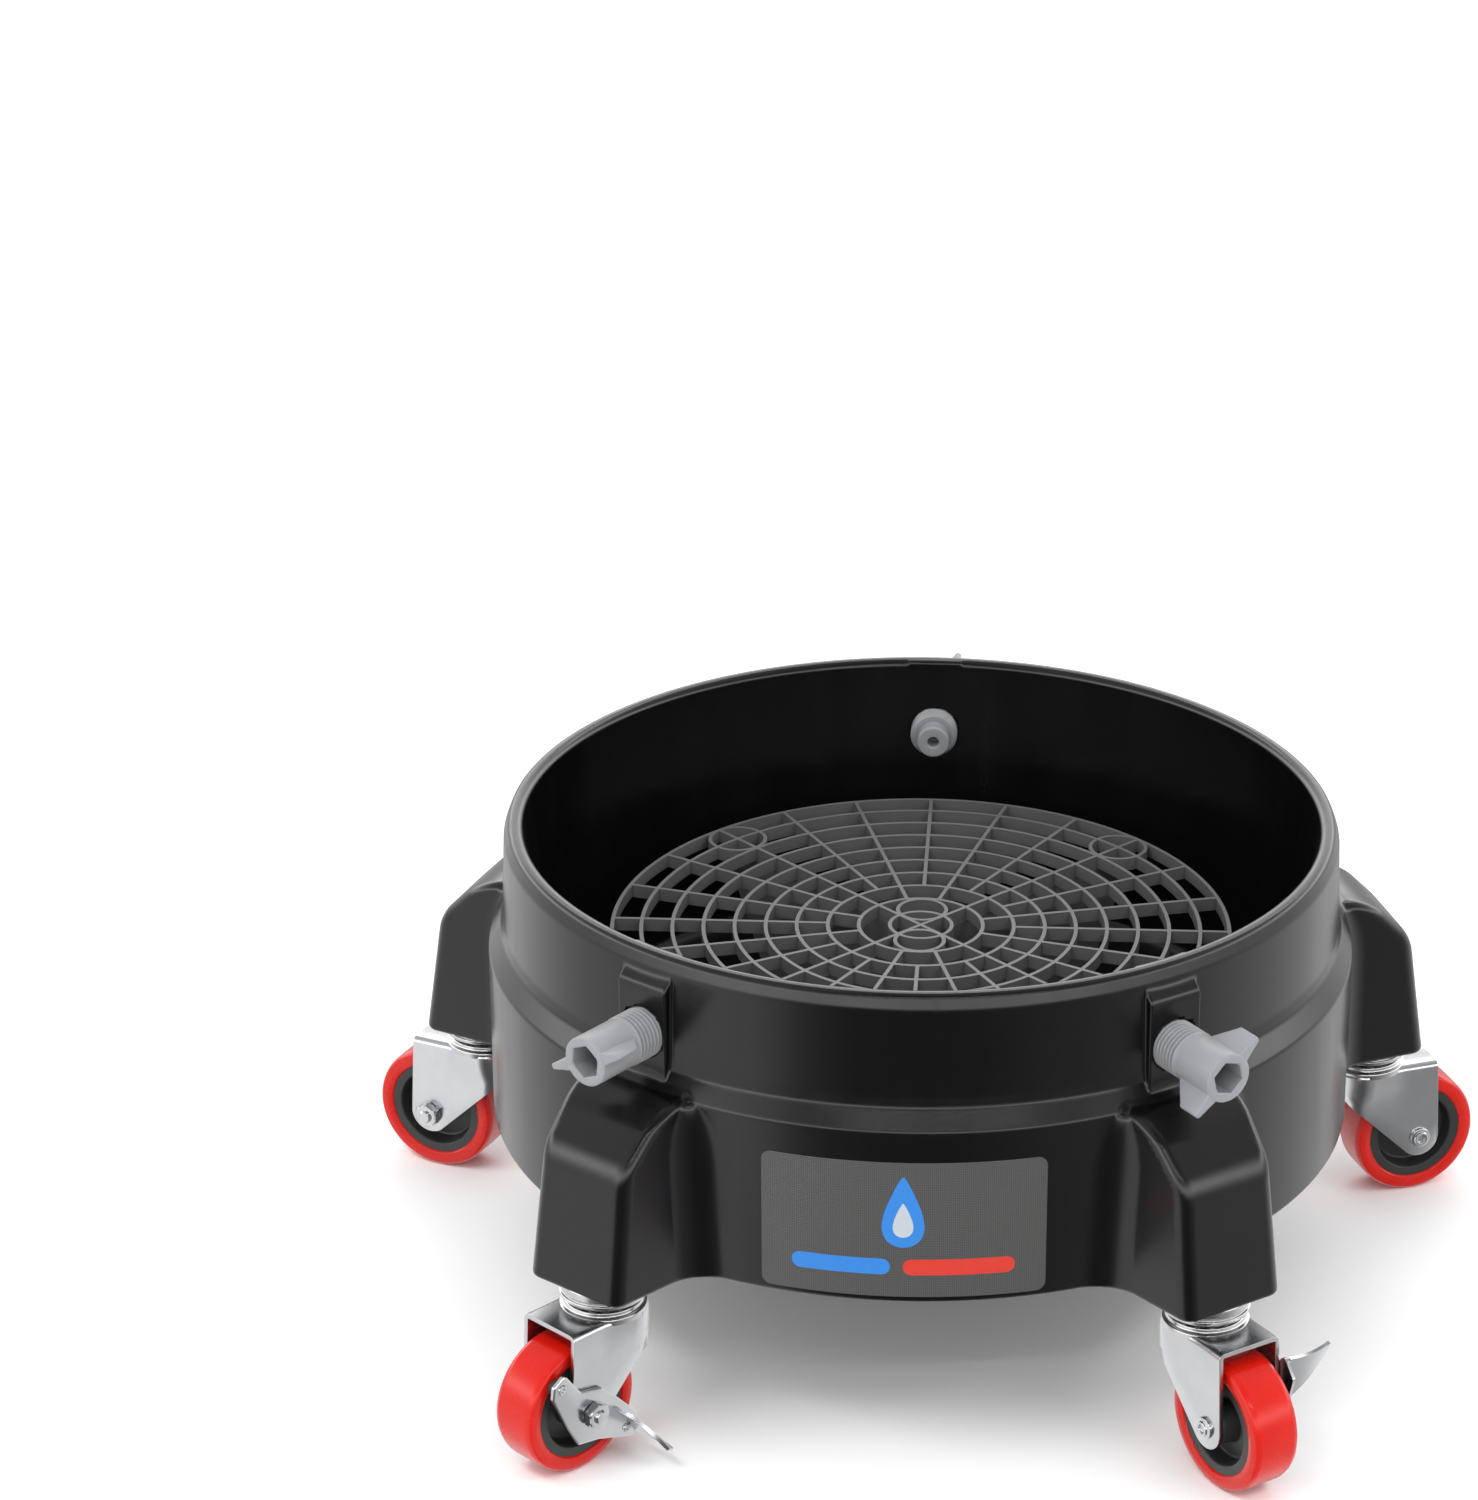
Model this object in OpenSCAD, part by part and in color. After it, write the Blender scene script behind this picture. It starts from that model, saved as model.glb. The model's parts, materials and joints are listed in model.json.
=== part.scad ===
// Five-wheeled bucket dolly: a round moulded pan with five hollow legs, five swivel casters,
// three clamping screws and a lift-out grid insert.
// Millimetres, +Z up. The origin is on the floor under the middle of the pan, and -Y is the front.

/* [Pan] */
// Outside radius of the rim
rim_r = 172; // [170:1:174]
// Height of the rim above the floor
rim_z = 205; // [203:1:210]
// Height of the moulding's underside above the floor
base_z = 75; // [74:1:77]
// Thickness of the rounded rim
rim_t = 7.6; // [7:0.2:9]
// Outside radius of the lower wall
skirt_r = 180.5; // [179:0.5:182]
// Height where the lower wall's shoulder starts
shoulder_z = 149; // [147:1:151]
// Radius of the inside wall where it meets the floor of the pan
seat_r = 155; // [152:1:157]
// Height of the pan's floor above the ground
seat_z = 91; // [90:1:94]

/* [Legs] */
// Number of legs and casters
leg_count = 5; // [5:1:5]
// Distance from the middle to the foot of a leg's outer face
leg_r = 221.6; // [219:0.2:224]
// Width of a leg at its foot
leg_w = 46.6; // [44:0.2:48]
// Height of the top edge of a leg's outer face
leg_edge_z = 130; // [126:1:133]

/* [Clamp screws] */
// Height of the screw axes
screw_z = 172.5; // [172:0.5:174]
// Outside diameter of the thread
thread_d = 20.8; // [19:0.2:21]
// Overall length of a screw with its tip
screw_len = 66; // [62:1:70]
// Reach of a wing from the screw's axis
wing_r = 19.6; // [16:0.2:20]
// Outer end of the left screw, from the middle of the pan
left_end_r = 210.4; // [205:0.2:218]
// Outer end of the right screw, from the middle of the pan
right_end_r = 211.4; // [205:0.2:218]
// Outer end of the rear screw, from the middle of the pan
rear_end_r = 214; // [205:0.2:218]

/* [Casters] */
// Distance from the middle to each swivel axis
pivot_r = 202.7; // [201:0.1:204]
// Distance from the swivel axis to the axle
trail = 21.8; // [20:0.2:23]
// Diameter of the wheels
wheel_d = 56; // [54:1:58]
// Width of the tread
tread_w = 21.3; // [20:0.1:22]
// Width across the fork
fork_w = 29.4; // [29:0.2:31]
// Thickness of the fork's sheet steel
fork_t = 2; // [1.6:0.2:2.2]
// Direction that each wheel trails in, from +X, starting at the front left leg
caster_turn = [-132, -54.5, 22, -24, 157.5];
// Turn of the two front brake levers about their axles: one pedal low behind, one up in front
lever_turn = [0, 152];

/* [Insert] */
// Outside diameter of the grid insert
grid_d = 260; // [250:1:262]
// Height of the insert
insert_h = 62; // [58:1:64]
// Number of rings in the grid
ring_count = 10; // [10:1:10]
// Thickness of the grid's bands
band_t = 1.6; // [1.4:0.1:2]

/* [Hidden] */
$fn = 96;

// Directions of the legs around the pan, from +X: front left, front right, right, rear, left
leg_dir = [for (i = [0 : leg_count - 1]) -126 + i * 360 / leg_count];
FRONT_LEFT = 0;
FRONT_RIGHT = 1;
RIGHT = 2;
REAR = 3;
LEFT = 4;
eps = 0.01;
gap = 0.3;

// Pan
floor_t = 8;
rim_in_r = rim_r - rim_t;
wall_top_r = rim_r + 1;
wall_r = rim_r + 2.5;
step_h = 9;
skirt_z = base_z + 0.4;
leg_in_r = 165;
leg_flare = 7.5;
leg_draft = 2.6;
leg_taper = 7.7;
leg_top_r = 192.8;
leg_top_z = 151;
leg_root_z = 153.2;
corner_cut = 5;
pad_w = 24;
pad_r = wall_r + 2.5;
pad_top_z = 199;
pad_depth = 12;
label_t = 0.5;
label_low_z = 78;
label_h = 59.5;
label_angle = 36;

// Clamp screws
bore_gap = 0.1;
tip_d = 14.6;
tip_len = 7.5;
tip_hole_d = 5;
tip_peg_d = 8;
peg_len = 4;
head_d = 20.6;
head_len = 21;
hex_af = 12.2;
hex_depth = 26;
wing_root = 21;
wing_end = 10.5;
wing_t = 5.6;
wing_end_t = 2.4;
left_wing_turn = -66;
right_wing_turn = -47;
rear_wing_turn = 30;

// Casters
wheel_r = wheel_d / 2;
stem_d = 10;
insert_d = 17;
insert_len = 28;
stem_len = 24;
neck_d = 9;
race_r = 17.5;
race_top_t = 4.6;
race_lip = 2;
race_lip_t = 1.4;
fork_top_z = base_z - 11;
ball_d = 3.8;
ball_count = 14;
ball_ring_r = 12.5;
race_t = 2;
rivet_d = 14;
rivet_t = 1.8;
fork_front = 28.8;
fork_back = 14.8;
fork_back_z = 51;
fork_foot_r = 9;
axle_d = 6;
bolt_head_d = 9;
bolt_head_t = 2.4;
nut_af = 10;
nut_t = 4;
bolt_end = 1.2;
sleeve_d = 9;
fork_in_w = fork_w - 2 * fork_t;
tread_t = 6.6;
tread_round = 3;
core_r = wheel_r - tread_t;
core_w = 19;
core_rim_t = 4;
boss_r = 8.5;
boss_w = 23.6;
web_t = 6;
run_gap = 0.05;

// Brake levers
lever_t = 1.6;
lever_gap = 0.3;
brake_stack = lever_t + 2 * lever_gap;
pedal_len = 22;
pedal_w = 18;
pedal_tilt = 14;
pedal_slope = 27;

// Insert
insert_gap = 0.3;
ring_pitch = grid_d / 2 / ring_count;
band_h = 5.5;
vane_t = 2.2;
vane_in_r = 1.7;
vane_r = 121;
vane_foot_r = 96;
loop_r = 12;
eye_r = 10.2;
eye_offset = 15;
grid_top_z = seat_z + insert_gap + insert_h;

// ---- Places ----

// Puts its children at the swivel axis of leg i, with +X along the wheel's trail
module at_caster(i) {
    rotate([0, 0, leg_dir[i]])
        translate([pivot_r, 0, 0])
            rotate([0, 0, caster_turn[i] - leg_dir[i]])
                children();
}

// Puts its children at the axle of caster i, with the axle along +Y
module at_axle(i) {
    at_caster(i)
        translate([trail, 0, wheel_r])
            children();
}

// Puts its children at a screw's outer end, with +X pointing outwards along its axis
module at_screw(i, end_r) {
    rotate([0, 0, leg_dir[i]])
        translate([end_r, 0, screw_z])
            children();
}

// A cylinder along +Y, centred on the origin
module rod_y(d, h) {
    rotate([90, 0, 0])
        cylinder(d = d, h = h, center = true);
}

// A cylinder along +X from x
module rod_x(d, x, len) {
    translate([x, 0, 0])
        rotate([0, 90, 0])
            cylinder(d = d, h = len);
}

// ---- Pan ----

module pan_ring() {
    rotate_extrude()
        polygon([
            [0, seat_z - floor_t],
            [seat_r - 9, seat_z - floor_t],
            [seat_r - 5, skirt_z],
            [skirt_r - 2.5, skirt_z],
            [skirt_r, skirt_z + 2.5],
            [skirt_r, shoulder_z],
            [skirt_r - 1.5, shoulder_z + 3],
            [wall_r + 1, shoulder_z + step_h],
            [wall_r, shoulder_z + step_h + 3],
            [wall_top_r, rim_z - 6],
            [rim_r - 0.6, rim_z - 1.8],
            [rim_r - 2.6, rim_z],
            [rim_in_r + 2.6, rim_z],
            [rim_in_r + 0.6, rim_z - 1.8],
            [rim_in_r, rim_z - 5],
            [seat_r, seat_z + 6],
            [seat_r - 1.8, seat_z + 1.8],
            [seat_r - 6, seat_z],
            [0, seat_z]
        ]);
}

// What is cut away beside a leg, so that it narrows upwards and towards its outer face
module leg_side_cut() {
    translate([leg_r, leg_w / 2, base_z])
        rotate([0, 0, -leg_flare])
            rotate([leg_draft, 0, 0])
                translate([-leg_r / 2, 0, -leg_r / 4])
                    cube([leg_r, leg_r / 4, leg_r]);
}

// One leg, pointing along +X, with its outer corners bevelled
module leg() {
    corner_y = leg_w / 2 - corner_cut;
    difference() {
        intersection() {
            rotate([90, 0, 0])
                linear_extrude(2 * leg_w, center = true)
                    polygon([
                        [leg_in_r, base_z],
                        [leg_r - 1.5, base_z],
                        [leg_r, base_z + 1.5],
                        [leg_r - leg_taper, leg_edge_z],
                        [leg_top_r, leg_top_z],
                        [leg_in_r, leg_root_z]
                    ]);
            translate([0, 0, base_z - 1])
                linear_extrude(leg_root_z)
                    polygon([
                        [leg_in_r, -corner_y - leg_w / 2],
                        [leg_r - leg_w / 2, -corner_y - leg_w / 2],
                        [leg_r, -corner_y],
                        [leg_r, corner_y],
                        [leg_r - leg_w / 2, corner_y + leg_w / 2],
                        [leg_in_r, corner_y + leg_w / 2]
                    ]);
        }
        leg_side_cut();
        mirror([0, 1, 0])
            leg_side_cut();
    }
}

// The flat pad that a clamp screw comes out of
module screw_pad() {
    rotate([90, 0, 0])
        linear_extrude(pad_w, center = true)
            polygon([
                [pad_r - pad_depth, leg_top_z - 1],
                [pad_r, leg_top_z - 1],
                [pad_r, pad_top_z - 6],
                [pad_r - 6, pad_top_z],
                [pad_r - pad_depth, pad_top_z]
            ]);
}

module pan_shell() {
    color([0.05, 0.05, 0.055])
        difference() {
            union() {
                pan_ring();
                for (a = leg_dir)
                    rotate([0, 0, a])
                        leg();
                for (i = [FRONT_LEFT, FRONT_RIGHT, REAR])
                    rotate([0, 0, leg_dir[i]])
                        screw_pad();
            }
            for (i = [FRONT_LEFT, FRONT_RIGHT, REAR])
                rotate([0, 0, leg_dir[i]])
                    translate([0, 0, screw_z])
                        rod_x(thread_d + 2 * bore_gap, seat_r - 5, pad_r - seat_r + 10);
            for (a = leg_dir)
                rotate([0, 0, a])
                    translate([pivot_r, 0, base_z - 1])
                        cylinder(d = insert_d, h = insert_len + 1);
        }
}

// The sticker on the front of the lower wall
module front_label() {
    color([0.25, 0.25, 0.26])
        rotate([0, 0, -90 - label_angle / 2])
            rotate_extrude(angle = label_angle)
                translate([skirt_r, label_low_z])
                    square([label_t, label_h]);
}

// Threaded metal inserts moulded into the feet of the legs
module stem_inserts() {
    color([0.72, 0.6, 0.35])
        for (a = leg_dir)
            rotate([0, 0, a])
                translate([pivot_r, 0, base_z])
                    difference() {
                        cylinder(d = insert_d, h = insert_len);
                        translate([0, 0, -1])
                            cylinder(d = stem_d, h = insert_len + 2);
                    }
}

// ---- Clamp screws ----

// The plain tip that bears on the bucket
module screw_tip(i, end_r) {
    color([0.62, 0.63, 0.65])
        at_screw(i, end_r)
            difference() {
                union() {
                    rod_x(tip_d, -screw_len, tip_len);
                    rod_x(tip_peg_d, -screw_len + tip_len - eps, peg_len);
                }
                rod_x(tip_hole_d, -screw_len - 1, tip_len + peg_len - 1);
            }
}

// One wedge wing, standing up from the axis, with its tip towards the outer end
module wing() {
    intersection() {
        rotate([90, 0, 0])
            linear_extrude(wing_t, center = true)
                polygon([
                    [-wing_root, 0],
                    [-wing_root, head_d / 2 - 1],
                    [-wing_end - 1, wing_r],
                    [-1, wing_r],
                    [-2.5, head_d / 2 - 1],
                    [-2.5, 0]
                ]);
        rotate([90, 0, 90])
            translate([0, 0, -wing_root])
                linear_extrude(wing_root)
                    polygon([
                        [-wing_t / 2, 0],
                        [wing_t / 2, 0],
                        [wing_end_t / 2, wing_r],
                        [-wing_end_t / 2, wing_r]
                    ]);
    }
}

// The threaded barrel with its hexagon socket and two wings, turned about its own axis
module screw_body(i, end_r, turn) {
    barrel_x = -screw_len + tip_len + gap;
    color([0.62, 0.63, 0.65])
        at_screw(i, end_r)
            rotate([turn, 0, 0])
                difference() {
                    union() {
                        rod_x(head_d, -head_len, head_len);
                        rod_x(thread_d, barrel_x, -head_len - barrel_x + eps);
                        wing();
                        rotate([180, 0, 0])
                            wing();
                    }
                    translate([-hex_depth, 0, 0])
                        rotate([0, 90, 0])
                            rotate([0, 0, 30])
                                cylinder(d = hex_af / cos(30), h = hex_depth + 1, $fn = 6);
                    rod_x(tip_peg_d + 2 * run_gap, -screw_len + tip_len - 1, peg_len + 1 + gap);
                }
}

// ---- Casters ----

// The stem with the upper cup of the swivel bearing
module caster_stem(i) {
    color([0.8, 0.8, 0.82])
        at_caster(i)
            union() {
                translate([0, 0, base_z - race_top_t])
                    cylinder(d = stem_d, h = stem_len + race_top_t);
                translate([0, 0, fork_top_z - fork_t - gap - rivet_t])
                    cylinder(d = rivet_d, h = rivet_t);
                translate([0, 0, fork_top_z - fork_t - 2 * gap])
                    cylinder(d = neck_d, h = base_z - fork_top_z + fork_t);
                rotate_extrude()
                    polygon([
                        [0, base_z],
                        [race_r - 1.2, base_z],
                        [race_r, base_z - 1.2],
                        [race_r, base_z - race_top_t - race_lip],
                        [race_r - race_lip_t, base_z - race_top_t - race_lip],
                        [race_r - race_lip_t, base_z - race_top_t],
                        [0, base_z - race_top_t]
                    ]);
            }
}

// The ring of bearing balls between the upper cup and the fork
module caster_balls(i) {
    color([0.75, 0.75, 0.77])
        at_caster(i)
            for (k = [0 : ball_count - 1])
                rotate([0, 0, k * 360 / ball_count])
                    translate([ball_ring_r, 0, fork_top_z + race_t + gap + ball_d / 2])
                        sphere(d = ball_d, $fn = 32);
}

// One side of the fork: a straight front edge, a round foot at the axle and a slanted back edge
module fork_side() {
    difference() {
        union() {
            rotate([90, 0, 0])
                linear_extrude(fork_t, center = true)
                    polygon([
                        [-fork_back, fork_top_z],
                        [-fork_back, fork_back_z],
                        [trail - fork_foot_r * 0.72, wheel_r - fork_foot_r * 0.69],
                        [trail, wheel_r],
                        [trail + fork_foot_r, wheel_r],
                        [fork_front, fork_top_z]
                    ]);
            translate([trail, 0, wheel_r])
                rod_y(fork_foot_r * 2, fork_t);
        }
        translate([trail, 0, wheel_r])
            rod_y(axle_d, fork_t + 1);
    }
}

// The pressed fork with the lower race of the swivel bearing
module caster_fork(i) {
    color([0.8, 0.8, 0.82])
        at_caster(i)
            difference() {
                union() {
                    translate([-fork_back, -fork_w / 2, fork_top_z - fork_t])
                        cube([fork_back + fork_front, fork_w, fork_t]);
                    for (s = [-1, 1])
                        translate([0, s * (fork_w - fork_t) / 2, 0])
                            fork_side();
                    translate([0, 0, fork_top_z - fork_t])
                        cylinder(r = race_r - 2, h = race_t + fork_t);
                }
                translate([0, 0, fork_top_z - fork_t - 1])
                    cylinder(d = neck_d + 2 * run_gap, h = race_t + fork_t + 2);
            }
}

// The axle bolt, with its head on the side away from the nut
module caster_axle(i, out) {
    end_y = fork_w / 2 + out + nut_t + bolt_end;
    color([0.75, 0.75, 0.77])
        at_axle(i)
            union() {
                translate([0, (end_y - fork_w / 2) / 2, 0])
                    rod_y(axle_d, end_y + fork_w / 2);
                translate([0, -fork_w / 2 - bolt_head_t / 2, 0])
                    rod_y(bolt_head_d, bolt_head_t);
            }
}

// The nut that clamps the fork on the sleeve
module caster_nut(i, out) {
    color([0.72, 0.72, 0.74])
        at_axle(i)
            translate([0, fork_w / 2 + out + nut_t / 2, 0])
                rotate([90, 0, 0])
                    difference() {
                        cylinder(d = nut_af / cos(30), h = nut_t, center = true, $fn = 6);
                        cylinder(d = axle_d, h = nut_t + 1, center = true);
                    }
}

// The sleeve that the wheel turns on
module caster_sleeve(i) {
    color([0.7, 0.7, 0.72])
        at_axle(i)
            difference() {
                rod_y(sleeve_d, fork_in_w);
                rod_y(axle_d, fork_in_w + 1);
            }
}

// The wheel's moulded core: boss, web and rim
module wheel_hub(i) {
    color([0.1, 0.1, 0.1])
        at_axle(i)
            rotate([90, 0, 0])
                rotate_extrude()
                    polygon([
                        [sleeve_d / 2 + run_gap, -boss_w / 2],
                        [boss_r, -boss_w / 2],
                        [boss_r, -web_t / 2],
                        [core_r - core_rim_t, -web_t / 2],
                        [core_r - core_rim_t, -core_w / 2],
                        [core_r, -core_w / 2],
                        [core_r, core_w / 2],
                        [core_r - core_rim_t, core_w / 2],
                        [core_r - core_rim_t, web_t / 2],
                        [boss_r, web_t / 2],
                        [boss_r, boss_w / 2],
                        [sleeve_d / 2 + run_gap, boss_w / 2]
                    ]);
}

// The cast tread, with rounded shoulders
module wheel_tread(i) {
    half = tread_w / 2;
    round_steps = [for (k = [0 : 4]) k * 90 / 4];
    flat = half - tread_round;
    top = wheel_r - tread_round;
    upper = [for (a = round_steps) [top + tread_round * cos(a), flat + tread_round * sin(a)]];
    lower = [for (a = round_steps) [top + tread_round * sin(a), -flat - tread_round * cos(a)]];
    color([0.8, 0.1, 0.06])
        at_axle(i)
            rotate([90, 0, 0])
                rotate_extrude()
                    polygon(concat([[core_r, half]], [[core_r, -half]], lower, upper));
}

// ---- Brake levers ----

// The stamped lever on the axle: a lobe at the front, and a pedal bent outwards at the back
module brake_lever(i) {
    color([0.8, 0.8, 0.82])
        at_axle(i)
            rotate([0, lever_turn[i], 0])
                translate([0, fork_w / 2 + lever_gap, 0])
                    difference() {
                        union() {
                            translate([0, lever_t, 0])
                                rotate([90, 0, 0])
                                    linear_extrude(lever_t)
                                        polygon([
                                            [-22, -20],
                                            [-3, -10.4],
                                            [7, -8.5],
                                            [12, -1],
                                            [20.5, 14],
                                            [19.8, 19.3],
                                            [14, 23],
                                            [6, 12],
                                            [-5, 9.5],
                                            [-12, 3],
                                            [-24, -10]
                                        ]);
                            translate([-15, lever_t / 2, -15.5])
                                rotate([0, -pedal_slope, 0])
                                    rotate([-pedal_tilt, 0, 0])
                                        linear_extrude(lever_t)
                                            polygon([
                                                [-pedal_w / 2, 0],
                                                [pedal_w / 2, 0],
                                                [0, pedal_len],
                                                [-pedal_w / 2 + 2, pedal_len]
                                            ]);
                        }
                        rod_y(axle_d + 2 * run_gap, 4 * lever_t + 2);
                    }
}

// The pad riveted behind the lobe, which the lever presses against the wheel
module brake_shoe(i) {
    shoe_in = tread_w / 2 + 0.4;
    color([0.2, 0.2, 0.2])
        at_axle(i)
            rotate([0, lever_turn[i], 0])
                translate([15.8, (shoe_in + fork_w / 2 + lever_gap) / 2, 16.5])
                    rod_y(6, fork_w / 2 + lever_gap - shoe_in);
}

// ---- Insert ----

// The outline of one ring of the grid, its seam turned to lie between the spokes
module ring_outline(r) {
    rotate(7.5)
        difference() {
            circle(r = r + band_t / 2);
            circle(r = r - band_t / 2);
        }
}

module spoke_outline(a, r0, r1) {
    rotate(a)
        translate([r0, -band_t / 2])
            square([r1 - r0, band_t]);
}

// The flat grid: rings, spokes, four corner loops and two middle eyes
module insert_grid() {
    rim = ring_pitch * ring_count - band_t / 2;
    color([0.42, 0.43, 0.44])
        translate([0, 0, grid_top_z - band_h])
            linear_extrude(band_h)
                union() {
                    for (k = [1 : ring_count - 1])
                        ring_outline(k * ring_pitch);
                    ring_outline(rim);
                    for (a = [0 : 90 : 270])
                        spoke_outline(a, 3 * ring_pitch, rim);
                    for (q = [0 : 90 : 270], a = [15, 75])
                        spoke_outline(q + a, 2 * ring_pitch, rim);
                    for (q = [0 : 90 : 270], a = [30, 60])
                        spoke_outline(q + a, 3 * ring_pitch, rim);
                    for (q = [45 : 90 : 315])
                        spoke_outline(q, 0, rim);
                    for (q = [45 : 90 : 315])
                        rotate(q)
                            translate([9 * ring_pitch, 0])
                                ring_outline(loop_r);
                    for (s = [-1, 1])
                        translate([0, s * eye_offset])
                            ring_outline(eye_r);
                }
}

// The four upright vanes that the grid stands on
module insert_vanes() {
    foot = insert_h - band_h;
    color([0.38, 0.39, 0.4])
        for (q = [45 : 90 : 315])
            rotate([0, 0, q])
                translate([0, 0, grid_top_z - insert_h])
                    rotate([90, 0, 0])
                        linear_extrude(vane_t, center = true)
                            polygon([
                                [vane_in_r, 0],
                                [vane_foot_r, 0],
                                [vane_r, foot - 8],
                                [vane_r, foot],
                                [vane_in_r, foot]
                            ]);
}

// ---- Model ----

pan_shell();
front_label();
stem_inserts();

screw_tip(FRONT_LEFT, left_end_r);  // left_screw_tip
screw_body(FRONT_LEFT, left_end_r, left_wing_turn);  // left_screw
screw_tip(FRONT_RIGHT, right_end_r);  // right_screw_tip
screw_body(FRONT_RIGHT, right_end_r, right_wing_turn);  // right_screw
screw_tip(REAR, rear_end_r);  // rear_screw_tip
screw_body(REAR, rear_end_r, rear_wing_turn);  // rear_screw

insert_grid();
insert_vanes();

caster_stem(FRONT_LEFT);  // front_left_stem
caster_balls(FRONT_LEFT);  // front_left_balls
caster_fork(FRONT_LEFT);  // front_left_fork
caster_axle(FRONT_LEFT, brake_stack);  // front_left_axle
caster_nut(FRONT_LEFT, brake_stack);  // front_left_nut
caster_sleeve(FRONT_LEFT);  // front_left_sleeve
wheel_hub(FRONT_LEFT);  // front_left_hub
wheel_tread(FRONT_LEFT);  // front_left_tread
brake_lever(FRONT_LEFT);  // front_left_brake
brake_shoe(FRONT_LEFT);  // front_left_brake_shoe

caster_stem(FRONT_RIGHT);  // front_right_stem
caster_balls(FRONT_RIGHT);  // front_right_balls
caster_fork(FRONT_RIGHT);  // front_right_fork
caster_axle(FRONT_RIGHT, brake_stack);  // front_right_axle
caster_nut(FRONT_RIGHT, brake_stack);  // front_right_nut
caster_sleeve(FRONT_RIGHT);  // front_right_sleeve
wheel_hub(FRONT_RIGHT);  // front_right_hub
wheel_tread(FRONT_RIGHT);  // front_right_tread
brake_lever(FRONT_RIGHT);  // front_right_brake
brake_shoe(FRONT_RIGHT);  // front_right_brake_shoe

caster_stem(RIGHT);  // right_stem
caster_balls(RIGHT);  // right_balls
caster_fork(RIGHT);  // right_fork
caster_axle(RIGHT, 0);  // right_axle
caster_nut(RIGHT, 0);  // right_nut
caster_sleeve(RIGHT);  // right_sleeve
wheel_hub(RIGHT);  // right_hub
wheel_tread(RIGHT);  // right_tread

caster_stem(REAR);  // rear_stem
caster_balls(REAR);  // rear_balls
caster_fork(REAR);  // rear_fork
caster_axle(REAR, 0);  // rear_axle
caster_nut(REAR, 0);  // rear_nut
caster_sleeve(REAR);  // rear_sleeve
wheel_hub(REAR);  // rear_hub
wheel_tread(REAR);  // rear_tread

caster_stem(LEFT);  // left_stem
caster_balls(LEFT);  // left_balls
caster_fork(LEFT);  // left_fork
caster_axle(LEFT, 0);  // left_axle
caster_nut(LEFT, 0);  // left_nut
caster_sleeve(LEFT);  // left_sleeve
wheel_hub(LEFT);  // left_hub
wheel_tread(LEFT);  // left_tread
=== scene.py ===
import json
import math

import bmesh
import bpy
import numpy as np
from mathutils import Matrix, Vector


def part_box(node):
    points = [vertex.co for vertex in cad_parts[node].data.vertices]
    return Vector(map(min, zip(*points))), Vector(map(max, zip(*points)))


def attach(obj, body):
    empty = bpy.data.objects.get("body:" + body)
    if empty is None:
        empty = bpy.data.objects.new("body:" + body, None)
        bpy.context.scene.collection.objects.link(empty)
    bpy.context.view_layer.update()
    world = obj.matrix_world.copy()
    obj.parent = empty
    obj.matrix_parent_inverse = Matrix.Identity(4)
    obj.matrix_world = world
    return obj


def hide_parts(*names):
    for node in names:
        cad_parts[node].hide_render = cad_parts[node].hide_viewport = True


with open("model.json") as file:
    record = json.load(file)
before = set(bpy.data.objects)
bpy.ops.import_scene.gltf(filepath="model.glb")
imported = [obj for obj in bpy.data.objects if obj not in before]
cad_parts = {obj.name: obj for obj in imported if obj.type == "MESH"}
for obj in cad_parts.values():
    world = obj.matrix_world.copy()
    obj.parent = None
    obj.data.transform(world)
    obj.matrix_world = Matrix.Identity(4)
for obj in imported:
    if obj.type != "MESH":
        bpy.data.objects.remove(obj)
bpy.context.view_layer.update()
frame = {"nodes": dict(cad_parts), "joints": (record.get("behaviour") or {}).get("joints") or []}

MM = 0.001
TAU = 2 * math.pi
scene = bpy.context.scene
joints = {j["name"]: j for j in frame["joints"]}
CASTERS = ("front_left", "front_right", "right", "rear", "left")
SCREWS = ("left", "right", "rear")


# ---- places ----

pan_lo, pan_hi = (np.array(v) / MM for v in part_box("pan_shell"))
RIM_Z = pan_hi[2]
BASE_Z = pan_lo[2]
WHEEL_R = (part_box("left_tread")[1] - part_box("left_tread")[0]).z / MM / 2


def caster_matrix(name):
    """The caster's own frame at rest, in metres: on the floor under its swivel, +X along the trail."""
    pivot = Vector(joints[name + "_swivel"]["pos_m"])
    y = Vector(joints[name + "_roll"]["axis"]).normalized()
    x = Vector((y.y, -y.x, 0))
    m = Matrix((x, y, Vector((0, 0, 1)))).transposed().to_4x4()
    m.translation = (pivot.x, pivot.y, 0)
    return m


def axle_matrix(name):
    """The caster's frame moved to its axle."""
    return caster_matrix(name) @ Matrix.Translation((TRAIL * MM, 0, WHEEL_R * MM))


def trail_of(name):
    """How far the axle stands behind the swivel axis, in millimetres."""
    pivot = Vector(joints[name + "_swivel"]["pos_m"])
    axle = Vector(joints[name + "_roll"]["pos_m"])
    return (axle - pivot).to_2d().length / MM


LEG_ANGLE = {
    n: math.degrees(math.atan2(*reversed(joints[n + "_swivel"]["pos_m"][:2]))) for n in CASTERS
}


# ---- mesh tools ----


def new_object(name, verts, faces):
    """A mesh object from points in millimetres."""
    mesh = bpy.data.meshes.new(name)
    pts = np.asarray(verts, float) * MM
    mesh.from_pydata(pts.tolist(), [], [list(map(int, f)) for f in faces])
    mesh.validate()
    mesh.polygons.foreach_set("use_smooth", [True] * len(mesh.polygons))
    mesh.update()
    ob = bpy.data.objects.new(name, mesh)
    scene.collection.objects.link(ob)
    return ob


def finish_piece(ob, material, body, replaces=(), matrix=None):
    """Moves a piece to its place, gives it its material and body, and hides the CAD nodes that it
    replaces.
    """
    if matrix is not None:
        ob.data.transform(matrix)
    ob.data.materials.clear()
    ob.data.materials.append(material)
    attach(ob, body)
    if replaces:
        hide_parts(*replaces)
    return ob


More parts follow.
